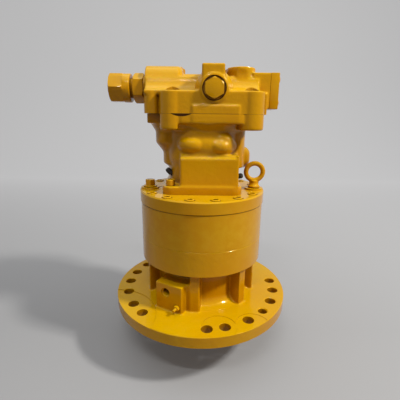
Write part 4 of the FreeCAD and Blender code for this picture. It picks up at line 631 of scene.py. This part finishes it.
scoop = drum(40, 71, 100, (-39.5, 0, casing_joint + 35), along_y, 128)
casing_bores = [casing_cavity, ear_holes, foot_holes, screw_pockets, scoop]
casing_mesh = machined(cast(casing_forms, 1.5, 22, 0.4), casing_bores, casing_envelope)
motor_casing = set_out("motor_casing_casting", casing_mesh, cast_enamel)
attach(motor_casing, "housing")
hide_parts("motor_casing")

# Valve cover: the cast block that carries the ports, with ramps that are hollowed
# behind the screw ears, a port barrel, a square plug boss and a round dome.
port_height = 455
plug_middle = (19, 0, 449.5)
relief_places = (-53, 60)
work_ports = (-24, 46)
end_screw_spots = [(along, height) for along in (-23, 23) for height in (429, 471)]
valleys = [drum(30, left, right, (0, -64, 477.5), along_x, 96)
           for left, right in ((-116, -4.5), (42.5, 106))]
hollowed_cover = bmesh.new()
hollowed_cover.from_mesh(machined(new_mesh(from_node("valve_cover")), valleys, None, [
    block((-110, -60, 440), (-70, -30, 472))]))
cover_forms = [
    hollowed_cover,
    drum(30, 404, 440),
    drum(15, 400, 447, (-96.5, -46, 0)),
    block((-112, -40, 400), (122, 58, 412)),
    block((-57, -79.5, 400), (89, 76, 412)),
    block((-20, -82, 400), (65.5, 0, 412)),
    block((93, -33, 417), (133, 33, 483)),
    drum(17.5, -112, -90, (0, 0, port_height), along_x),
    drum(23, 56, 82, plug_middle, along_y),
    turned([(0, 80.5), (25.4, 80.5), (36, 58), (0, 58)], plug_middle, along_y),
]
for across, along in ears:
    cover_forms.append(drum(24, 400, 412, (across, along, 0)))
    cover_forms.append(drum(12.6, 400, 446 if along < 0 else 470, (across, along, 0)))
cover_envelope = block((-140, -100, casing_joint + joint_gap), (127, 100, 520))
cover_bores = [
    drum(22.5, 400, 430),
    gathered([drum(7.5, 400, 440, (across, along, 0), steps=32) for across, along in ears]),
    gathered([turned([(0, 432), (13, 432), (13, 445.2), (13.8, 446), (13.8, 490), (0, 490)], (across, along, 0),
                     steps=64) for across, along in ears]),
    turned([(0, 76), (21.4, 76), (21.4, 81.6), (21.8, 82), (21.8, 90), (0, 90)], (19, 0, 449.5),
           along_y),
    drum(13.05, 54, 84, plug_middle, along_y),
    drum(17.05, -120, -92, (0, 0, port_height), along_x),
    gathered([drum(17.1, 470, 520, (across, 26, 0)) for across in relief_places]),
    gathered([drum(11.05, 452, 480, (across, 26, 0), steps=40) for across in relief_places]),
    gathered([turned([(0, -79), (11, -79), (11, -78), (9.5, -76.5), (9.5, -44), (0, -44)], (across, 0, 438),
                     along_y, 48) for across in work_ports]),
    gathered([drum(5, -79, -58, (across + side * 11.1, 0, 438 + level * 23.8),
                   along_y, 24)
              for across in work_ports for side in (-1, 1) for level in (-1, 1)]),
    gathered([drum(4.05, 113, 130, (0, along, height), along_x, 24)
              for along, height in end_screw_spots]),
]
cover_mesh = machined(cast(cover_forms, 1.4, 18, 0.4), cover_bores, cover_envelope)
valve_cover = set_out("valve_cover_casting", cover_mesh, cast_enamel)
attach(valve_cover, "housing")
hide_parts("valve_cover")

# Grease nipple and oil port of the boss: the nipple is a small steel fitting with a
# six-sided grip and a ball tip, screwed into the boss and painted over with it.
nipple_form = machined(new_mesh(hexagon(11, 0, 6)), [], turned([
    (0, -0.5), (5.4, -0.5), (6.4, 0.6), (6.4, 5.2), (5.2, 6.2), (0, 6.2)], steps=32), [
    turned([(0, -13.5), (3.9, -13.5), (3.9, 0.2), (0, 0.2)], steps=24),
    turned([(0, 5), (3.4, 5), (3.0, 8.2), (2.2, 9.4), (2.2, 10.4), (3.2, 11.6), (3.2, 12.6), (2.3, 13.8),
            (0, 14)], steps=24),
])
nipple = set_out("grease_nipple_fitting", repeated(eased(nipple_form, 0.25), [
    boss_turn @ moved(*nipple_place, along_x)]), machined_enamel)
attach(nipple, "housing")
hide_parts("grease_nipple")

# Cover plate: a turned steel plate that clamps the ring gear, with a chamfered rim,
# thirteen deep counterbores for its screws and two raised lifting pads.
plate_radius = 131.5
plate_bottom = 229.5
lift_pad_radius = 19
lift_pad_top = 259
lift_circle = 110.5
lift_angles = (-8.7, -170.2)
screw_circle = 117
screw_angles = [-147 + 23 * step for step in range(6)] + [16 + 22 * step for step in range(7)]
plate_form = turned([
    (0, plate_bottom), (129.3, plate_bottom), (plate_radius, plate_bottom + 2.0), (plate_radius, deck - 2.5),
    (plate_radius - 2.5, deck), (0, deck)], steps=256)
lift_pads = [turned([(0, 250), (lift_pad_radius + 1.5, 250), (lift_pad_radius + 1.5, deck), (
    lift_pad_radius + 0.5, deck + 0.5), (lift_pad_radius, deck + 1.8), (lift_pad_radius, lift_pad_top - 0.8),
    (lift_pad_radius - 0.8, lift_pad_top), (0, lift_pad_top)], spot_on_circle(angle, lift_circle), steps=64)
    for angle in lift_angles]
plate_cuts = [
    turned([(0, 200), (100, 200), (100, 235.5), (26, 235.5), (26, 249), (62.55, 249), (62.55, 300), (0, 300)],
           steps=128),
    gathered([turned([(0, 245), (9.6, 245), (9.6, deck - 0.9), (10.5, deck + 0.01), (10.5, 262), (0, 262)],
                     spot_on_circle(angle, screw_circle), steps=40) for angle in screw_angles]),
    gathered([drum(6.5, 220, 246, spot_on_circle(angle, screw_circle), steps=24) for angle in screw_angles]),
    gathered([drum(5.05, 238, 270, spot_on_circle(angle, lift_circle), steps=24) for angle in lift_angles]),
    gathered([drum(6.05, 238, 262, (*corner, 0), steps=24) for corner in foot_corners]),
]
plate_mesh = machined(new_mesh(plate_form), plate_cuts, None, lift_pads)
cover_plate = set_out("cover_plate_turned", plate_mesh, machined_enamel, 30)
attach(cover_plate, "housing")
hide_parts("cover_plate")


def socket_screw(radius, head_radius, head_height, key, length):
    """A socket head cap screw, its head's seat at height 0, with a chamfered rim."""
    head = turned([
        (0, -length), (radius, -length), (radius, -0.4), (head_radius - 0.5, 0), (head_radius, 0.5),
        (head_radius, head_height - 1.1), (head_radius - 1.1, head_height), (0, head_height)], steps=48)
    socket = hexagon(key, head_height * 0.42, head_height + 1, 30)
    mouth = turned([(0, head_height - 0.7), (key * 0.53, head_height - 0.7), (key * 0.62, head_height + 0.2),
                    (key * 0.62, head_height + 2), (0, head_height + 2)], steps=48)
    return machined(new_mesh(head), [socket, mouth])


cover_screws = set_out("cover_plate_screws", repeated(socket_screw(6, 9, 12, 9.6, 110), [
    moved(*spot_on_circle(angle, screw_circle, 245), Matrix.Rotation(math.radians(37 * count), 4, "Z"))
    for count, angle in enumerate(screw_angles)]), machined_enamel, 30)
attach(cover_screws, "housing")
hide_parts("cover_screws")

# Eye bolt and plug of the lifting holes: a forged steel ring on a collar, screwed into
# one pad, and a flanged hexagon plug that closes the other hole. Both are sprayed over.
eye_spot = spot_on_circle(lift_angles[0], lift_circle)
ring_radius = 17.5
ring_thickness = 5
ring_points = [(ring_radius + ring_thickness * math.cos(math.radians(15 * step)),
                ring_thickness * math.sin(math.radians(15 * step))) for step in range(24)]
eye_forms = [
    turned(ring_points, (eye_spot[0], eye_spot[1], 292), along_y, 64),
    turned([(0, 259.05), (12.5, 259.05), (12.5, 262.4), (9.4, 266), (8, 269), (8, 274), (0, 276)], eye_spot),
    block((eye_spot[0] - 9.5, eye_spot[1] - 3.6, 264), (eye_spot[0] + 9.5, eye_spot[1] + 3.6, 275.5)),
]
eye_mesh = machined(cast(eye_forms, 0.7, 7, 0.5), [], block((60, -60, 259.05), (160, 40, 330)),
                    [turned([(0, 239), (5, 239), (5, 260), (0, 260)], eye_spot, steps=32)])
eye_bolt = set_out("eye_bolt_forging", eye_mesh, cast_enamel, 40)
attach(eye_bolt, "housing")
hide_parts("eye_bolt")

plug_spot = spot_on_circle(lift_angles[1], lift_circle)
lift_plug_mesh = machined(new_mesh(hexagon(19, 260, 274, 12)), [], turned([
    (0, 260), (12, 260), (12, 272.6), (9.3, 274), (0, 274)], steps=48), [
    turned([(0, 259.05), (13.4, 259.05), (14, 259.6), (14, 261.2), (12.4, 262), (0, 262)], steps=48),
    turned([(0, 239), (5, 239), (5, 260), (0, 260)], steps=32)])
lift_plug = set_out("lift_hole_plug_bolt", repeated(eased(lift_plug_mesh, 0.35), [moved(*plug_spot)]),
                    machined_enamel, 40)
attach(lift_plug, "housing")
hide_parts("lift_hole_plug")

# Motor screws and port caps: four socket screws hold the motor's foot to the plate,
# and two black plastic caps are pushed on the stubs of its open drain ports.
motor_screws = set_out("motor_foot_screws", repeated(socket_screw(6, 9, 12, 9.6, 31), [
    moved(across, along, 271, Matrix.Rotation(math.radians(20 + across), 4, "Z"))
    for across, along in foot_corners]), machined_enamel, 30)
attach(motor_screws, "housing")
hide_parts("motor_screws")

plastic = bpy.data.materials.new("black_cap_plastic")
plastic.use_nodes = True
plastic_shader = plastic.node_tree.nodes["Principled BSDF"]
plastic_grain = plastic.node_tree.nodes.new("ShaderNodeTexNoise")
plastic_grain.inputs["Scale"].default_value = 700
plastic_tone = plastic.node_tree.nodes.new("ShaderNodeValToRGB")
plastic_tone.color_ramp.elements[0].color = (0.012, 0.011, 0.011, 1)
plastic_tone.color_ramp.elements[1].color = (0.035, 0.032, 0.03, 1)
plastic.node_tree.links.new(plastic_grain.outputs["Fac"], plastic_tone.inputs["Fac"])
plastic.node_tree.links.new(plastic_tone.outputs["Color"], plastic_shader.inputs["Base Color"])
plastic_bump = plastic.node_tree.nodes.new("ShaderNodeBump")
plastic_bump.inputs["Distance"].default_value = 0.0002
plastic.node_tree.links.new(plastic_grain.outputs["Fac"], plastic_bump.inputs["Height"])
plastic.node_tree.links.new(plastic_bump.outputs["Normal"], plastic_shader.inputs["Normal"])
plastic_shader.inputs["Roughness"].default_value = 0.38
cap_ports = (((-58, -32, 284), (-0.66, -0.12, 0.74)), ((62, -36, 284), (0.93, -0.3, 0.2)))
cap_form = turned([
    (0, -5.9), (3.6, -5.9), (3.6, 0), (5.2, 0), (5.5, 0.4), (5.5, 2.2), (4.9, 2.8), (4.7, 10.6), (4.2, 12.2),
    (3.0, 13), (0, 13)], steps=40)
cap_ribs = [block((-0.45, -5.3, 2.4), (0.45, 5.3, 10.4), Matrix.Rotation(math.radians(30 * step), 4, "Z"))
            for step in range(6)]
cap_mesh = machined(new_mesh(cap_form), [], None, cap_ribs)
caps = set_out("drain_port_caps", repeated(cap_mesh, [
    moved(*(Vector(start) + Vector(way).normalized() * 8), Vector(way).to_track_quat("Z", "Y").to_matrix(
    ).to_4x4()) for start, way in cap_ports]), plastic, 35)
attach(caps, "housing")
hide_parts("port_caps")

# Valve cover screws, port plug and relief valves: bought steel fittings, all sprayed
# yellow with the cover. The plug's hexagon stands in a recess that the enamel's crevice darkening shows dark:
# painted shade.
cover_cap_screws = set_out("valve_cover_cap_screws", repeated(socket_screw(7, 10.5, 13, 11, 52), [
    moved(across, along, 432, Matrix.Rotation(math.radians(11 + across), 4, "Z")) for across, along in ears]),
    machined_enamel, 30)
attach(cover_cap_screws, "housing")
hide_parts("valve_cover_screws")

port_plug_mesh = machined(new_mesh(hexagon(32.5, 77, 89)), [], turned([
    (0, 77), (19, 77), (19, 87.4), (16.6, 89), (0, 89)], steps=96), [
    turned([(0, 76.05), (20.2, 76.05), (20.2, 77.2), (19.6, 77.8), (0, 77.8)], steps=96),
    turned([(0, 56), (12.4, 56), (13, 56.8), (13, 79), (0, 79)], steps=64)])
port_plug = set_out("front_port_plug_bolt", repeated(eased(port_plug_mesh, 0.5), [
    moved(*plug_middle, along_y)]), machined_enamel, 40)
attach(port_plug, "housing")
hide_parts("front_port_plug")

relief_mesh = machined(new_mesh(hexagon(27, 470.05, 496, 90)), [], turned([
    (0, 470.05), (14.4, 470.05), (16, 471.4), (16, 480.4), (14.6, 481.6), (14.6, 482.6), (16, 483.8),
    (16, 494.2), (13.2, 496), (0, 496)], steps=64), [
    turned([(0, 494), (10.5, 494), (10.5, 498), (9.6, 499), (4.2, 499), (4.0, 497.6), (0, 497.6)], steps=48),
    turned([(0, 452), (11, 452), (11, 471), (0, 471)], steps=48)])
relief_valves = set_out("relief_valve_bodies", repeated(eased(relief_mesh, 0.35), [
    moved(across, 26, 0) for across in relief_places]), machined_enamel, 40)
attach(relief_valves, "housing")
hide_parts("relief_valves")

# End plate: a thick steel plate screwed to the right end of the valve cover by four
# socket screws in recesses. Its joint shows dark from the enamel's crevice darkening: a dark joint, partly
# painted shade.
end_plate_mesh = eased(new_mesh(block((127.05, -33, 417), (144, 33, 483))), 1.3)
end_plate_mesh = machined(end_plate_mesh, [
    gathered([turned([(0, 138), (6.9, 138), (6.9, 143.2), (7.7, 144), (7.7, 150), (0, 150)], (0, along, height),
                     along_x, 40) for along, height in end_screw_spots]),
    gathered([drum(4.4, 120, 139, (0, along, height), along_x, 24)
              for along, height in end_screw_spots])])
end_plate = set_out("end_plate_block", end_plate_mesh, machined_enamel)
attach(end_plate, "housing")
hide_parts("end_plate")

end_screws = set_out("end_plate_cap_screws", repeated(socket_screw(4, 6.5, 8, 6, 25), [
    moved(138, along, height, along_x) for along, height in end_screw_spots]),
    machined_enamel, 30)
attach(end_screws, "housing")
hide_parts("end_plate_screws")

# Side adapter and swivel nut: a turned steel port adapter with a hexagon, and the
# hose's swivel nut, which is held on its neck by a lip and turns freely.
adapter_mesh = machined(new_mesh(hexagon(50, -137, -117, 90)), [drum(12, -170, -80, steps=64)], turned([
    (0, -137), (25.6, -137), (29.4, -134.4), (29.4, -119.6), (25.6, -117), (0, -117)], steps=96), [
    turned([(0, -118), (22.4, -118), (23, -117), (23, -112.8), (22.3, -112.05), (0, -112.05)], steps=96),
    turned([(0, -113), (17, -113), (17, -92.6), (16.4, -92), (0, -92)], steps=64),
    turned([(0, -160.4), (17.4, -160.4), (20.6, -159.3), (20.6, -156.5), (19, -156), (19, -136), (0, -136)],
           steps=96)])
side_adapter = set_out("side_port_adapter", repeated(eased(adapter_mesh, 0.5), [
    moved(0, 0, port_height, along_x)]), machined_enamel, 38)
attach(side_adapter, "housing")
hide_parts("side_adapter")

nut_mesh = machined(new_mesh(hexagon(52, -184, -154)), [
    turned([(0, -190), (22.4, -190), (22.4, -184), (20.8, -182.4), (20.8, -161), (21.2, -160.6), (21.2, -156),
            (19.4, -155.4), (19.4, -130), (0, -130)], steps=96)], turned([
                (0, -184), (26.6, -184), (30.4, -181.2), (30.4, -158.6), (27.6, -156.4), (27.6, -150), (0, -150)],
        steps=96), [
    turned([(0, -157), (27.5, -157), (27.5, -144.4), (26.2, -143), (0, -143)], steps=96)])
swivel_nut = set_out("hose_swivel_nut", repeated(eased(nut_mesh, 0.5), [moved(0, 0, port_height, along_x)]),
                     machined_enamel, 38)
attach(swivel_nut, "hose_nut")
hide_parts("swivel_nut")

# Ring gear: a steel ring clamped between case and cover. Its turned outside is sprayed
# with the case, its joint faces and its teeth are bare machined steel with an oil film.
steel, steel_in, steel_out = new_group(
    "machined_steel_colour",
    [("Steel", "Color", (0.5, 0.51, 0.53, 1)), ("Oil", "Color", (0.16, 0.13, 0.10, 1)),
     ("Oil Film", "Float", 0.4), ("Turning Marks", "Float", 0.5), ("Roughness", "Float", 0.28)],
    [("Color", "Color"), ("Roughness", "Float"), ("Height", "Float")])
steel_place = steel.nodes.new("ShaderNodeTexCoord").outputs["Object"]
steel_parts = steel.nodes.new("ShaderNodeSeparateXYZ")
steel.links.new(steel_place, steel_parts.inputs["Vector"])
from_axis = calculate(steel, "SQRT", calculate(
    steel, "ADD", calculate(steel, "MULTIPLY", steel_parts.outputs["X"], steel_parts.outputs["X"]),
    calculate(steel, "MULTIPLY", steel_parts.outputs["Y"], steel_parts.outputs["Y"])))
groove_place = steel.nodes.new("ShaderNodeCombineXYZ")
steel.links.new(from_axis, groove_place.inputs["X"])
steel.links.new(steel_parts.outputs["Z"], groove_place.inputs["Y"])
grooves = noise(steel, groove_place.outputs["Vector"], 1500.0, 1.0)
film = spread_out(steel, noise(steel, steel_place, 45.0, 5.0, 0.6), 0.42, 0.66)
steel_tone = blend_colours(steel, calculate(steel, "MULTIPLY", film, steel_in.outputs["Oil Film"]),
                           steel_in.outputs["Steel"], steel_in.outputs["Oil"])
# Narrow gaps and tooth roots are darkened towards the oil colour: painted shade.
pocket = steel.nodes.new("ShaderNodeAmbientOcclusion")
pocket.samples = 4
pocket.inputs["Distance"].default_value = 0.006
steel_crevice_shade = spread_out(steel, pocket.outputs["AO"], 0.2, 0.8, 0.7, 0.0)
steel_shown = blend_colours(steel, steel_crevice_shade, steel_tone, steel_in.outputs["Oil"])
steel.links.new(steel_shown, steel_out.inputs["Color"])
steel.links.new(calculate(steel, "ADD", steel_in.outputs["Roughness"], calculate(
    steel, "MULTIPLY", noise(steel, steel_place, 120.0, 4.0), 0.12)), steel_out.inputs["Roughness"])
steel.links.new(calculate(steel, "MULTIPLY", grooves, steel_in.outputs["Turning Marks"]),
                steel_out.inputs["Height"])


def bare_metal(name, colour, oil, film_share, marks, roughness, metallic=1.0):
    """Bare machined metal with turning marks and a broken film of old oil."""
    material = bpy.data.materials.new(name)
    material.use_nodes = True
    tree = material.node_tree
    shader = tree.nodes["Principled BSDF"]
    look = use_group(material, steel, Steel=colour, Oil=oil, Oil_Film=film_share, Turning_Marks=marks,
                     Roughness=roughness)
    tree.links.new(look.outputs["Color"], shader.inputs["Base Color"])
    tree.links.new(look.outputs["Roughness"], shader.inputs["Roughness"])
    bump = tree.nodes.new("ShaderNodeBump")
    bump.inputs["Distance"].default_value = 0.00012
    tree.links.new(look.outputs["Height"], bump.inputs["Height"])
    tree.links.new(bump.outputs["Normal"], shader.inputs["Normal"])
    shader.inputs["Metallic"].default_value = metallic
    return material


def dress(names, material):
    """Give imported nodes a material; their meshes stay as they are."""
    for name in names:
        slots = nodes[name].material_slots
        if not slots:
            nodes[name].data.materials.append(material)
        for slot in nodes[name].material_slots:
            slot.material = material


gear_steel = bare_metal("gear_steel", (0.50, 0.51, 0.53, 1), (0.16, 0.13, 0.10, 1), 0.45, 0.5, 0.26)
ring_paint = yellow_enamel("enamel_on_ring_gear", 0.25, 0.12, 0.05, 0.0003)
ring_tree = ring_paint.node_tree
ring_shader = ring_tree.nodes["Principled BSDF"]
bare_look = use_group(ring_paint, steel)
ring_place = ring_tree.nodes.new("ShaderNodeTexCoord")
ring_reach = ring_tree.nodes.new("ShaderNodeVectorMath")
ring_reach.operation = "MULTIPLY"
ring_reach.inputs[1].default_value = (1, 1, 0)
ring_tree.links.new(ring_place.outputs["Object"], ring_reach.inputs[0])
ring_length = ring_tree.nodes.new("ShaderNodeVectorMath")
ring_length.operation = "LENGTH"
ring_tree.links.new(ring_reach.outputs["Vector"], ring_length.inputs[0])
ring_inside = calculate(ring_tree, "LESS_THAN", ring_length.outputs["Value"], 0.1296)
painted_outside = ring_shader.inputs["Base Color"].links[0].from_socket
ring_colour = blend_colours(ring_tree, ring_inside, painted_outside, bare_look.outputs["Color"])
ring_tree.links.new(ring_colour, ring_shader.inputs["Base Color"])
ring_tree.links.new(calculate(
    ring_tree, "MULTIPLY_ADD", ring_inside, 0.08, ring_shader.inputs["Roughness"].links[0].from_socket),
    ring_shader.inputs["Roughness"])
ring_tree.links.new(ring_inside, ring_shader.inputs["Metallic"])
dress(["ring_gear"], ring_paint)

# Gear train: case-hardened shafts, suns, planets and pins, ground where they run and
# turned elsewhere. The pinion that shows under the flange has a little brown oil on it.
dress(["output_shaft", "output_sun_gear", "input_sun_gear", "output_planet_1", "output_planet_2",
       "output_planet_3", "input_planet_1", "input_planet_2", "input_planet_3", "motor_shaft", "shaft_nut",
       "output_planet_pins", "input_planet_pins"], gear_steel)

# Bearings: rings, rollers and balls of ground and honed bearing steel, the brightest
# metal in the gearbox, pressed into the case or on the shafts.
bearing_steel = bare_metal("bearing_steel", (0.68, 0.69, 0.71, 1), (0.22, 0.18, 0.13, 1), 0.25, 0.25, 0.12)
dress(["lower_bearing_inner_ring", "lower_bearing_outer_ring", "lower_bearing_rollers",
       "upper_bearing_inner_ring", "upper_bearing_outer_ring", "upper_bearing_rollers",
       "front_bearing_inner_ring", "front_bearing_outer_ring", "front_bearing_balls", "rear_bearing",
       "output_planet_rollers", "input_planet_rollers", "separator_plates", "brake_springs",
       "shoe_retainer"], bearing_steel)

# Carriers and the motor's rotating block: grey spheroidal iron, cast and then turned,
# dark from the oil that it runs in.
carrier_iron = bare_metal("carrier_iron", (0.27, 0.27, 0.275, 1), (0.09, 0.075, 0.06, 1), 0.5, 0.7, 0.38,
                          0.85)
dress(["output_carrier", "input_carrier", "swash_plate", "cylinder_block", "brake_piston", "pistons"],
      carrier_iron)

# Bronze pieces: slipper shoes, valve plate and thrust washers, turned from lead bronze
# and lapped where they slide on steel.
bronze = bare_metal("bearing_bronze", (0.58, 0.38, 0.15, 1), (0.20, 0.12, 0.05, 1), 0.4, 0.6, 0.24)
dress(["piston_shoes", "valve_plate", "output_thrust_washers", "input_thrust_washers"], bronze)

# Seals: black nitrile rings and lip seals, squeezed between the joints or pressed in.
# The brake's linings are a brown fibre with flecks of brass, bonded on steel.


def matt_stuff(name, dark, light, scale, roughness, depth):
    """A dull moulded stuff that is mottled from a dark to a lighter tone."""
    material = bpy.data.materials.new(name)
    material.use_nodes = True
    tree = material.node_tree
    shader = tree.nodes["Principled BSDF"]
    mottle = tree.nodes.new("ShaderNodeTexNoise")
    mottle.inputs["Scale"].default_value = scale
    mottle.inputs["Detail"].default_value = 6.0
    tone = tree.nodes.new("ShaderNodeValToRGB")
    tone.color_ramp.elements[0].position = 0.35
    tone.color_ramp.elements[0].color = dark
    tone.color_ramp.elements[1].position = 0.7
    tone.color_ramp.elements[1].color = light
    tree.links.new(mottle.outputs["Fac"], tone.inputs["Fac"])
    tree.links.new(tone.outputs["Color"], shader.inputs["Base Color"])
    bump = tree.nodes.new("ShaderNodeBump")
    bump.inputs["Distance"].default_value = depth
    tree.links.new(mottle.outputs["Fac"], bump.inputs["Height"])
    tree.links.new(bump.outputs["Normal"], shader.inputs["Normal"])
    shader.inputs["Roughness"].default_value = roughness
    return material


rubber = matt_stuff("seal_rubber", (0.012, 0.012, 0.014, 1), (0.035, 0.035, 0.038, 1), 500, 0.55, 0.0001)
lining = matt_stuff("brake_lining", (0.10, 0.07, 0.05, 1), (0.30, 0.22, 0.12, 1), 900, 0.85, 0.0003)
dress(["joint_seals", "output_seal", "motor_shaft_seal"], rubber)
dress(["friction_plates"], lining)

bpy.context.scene.view_settings.view_transform = "Standard"
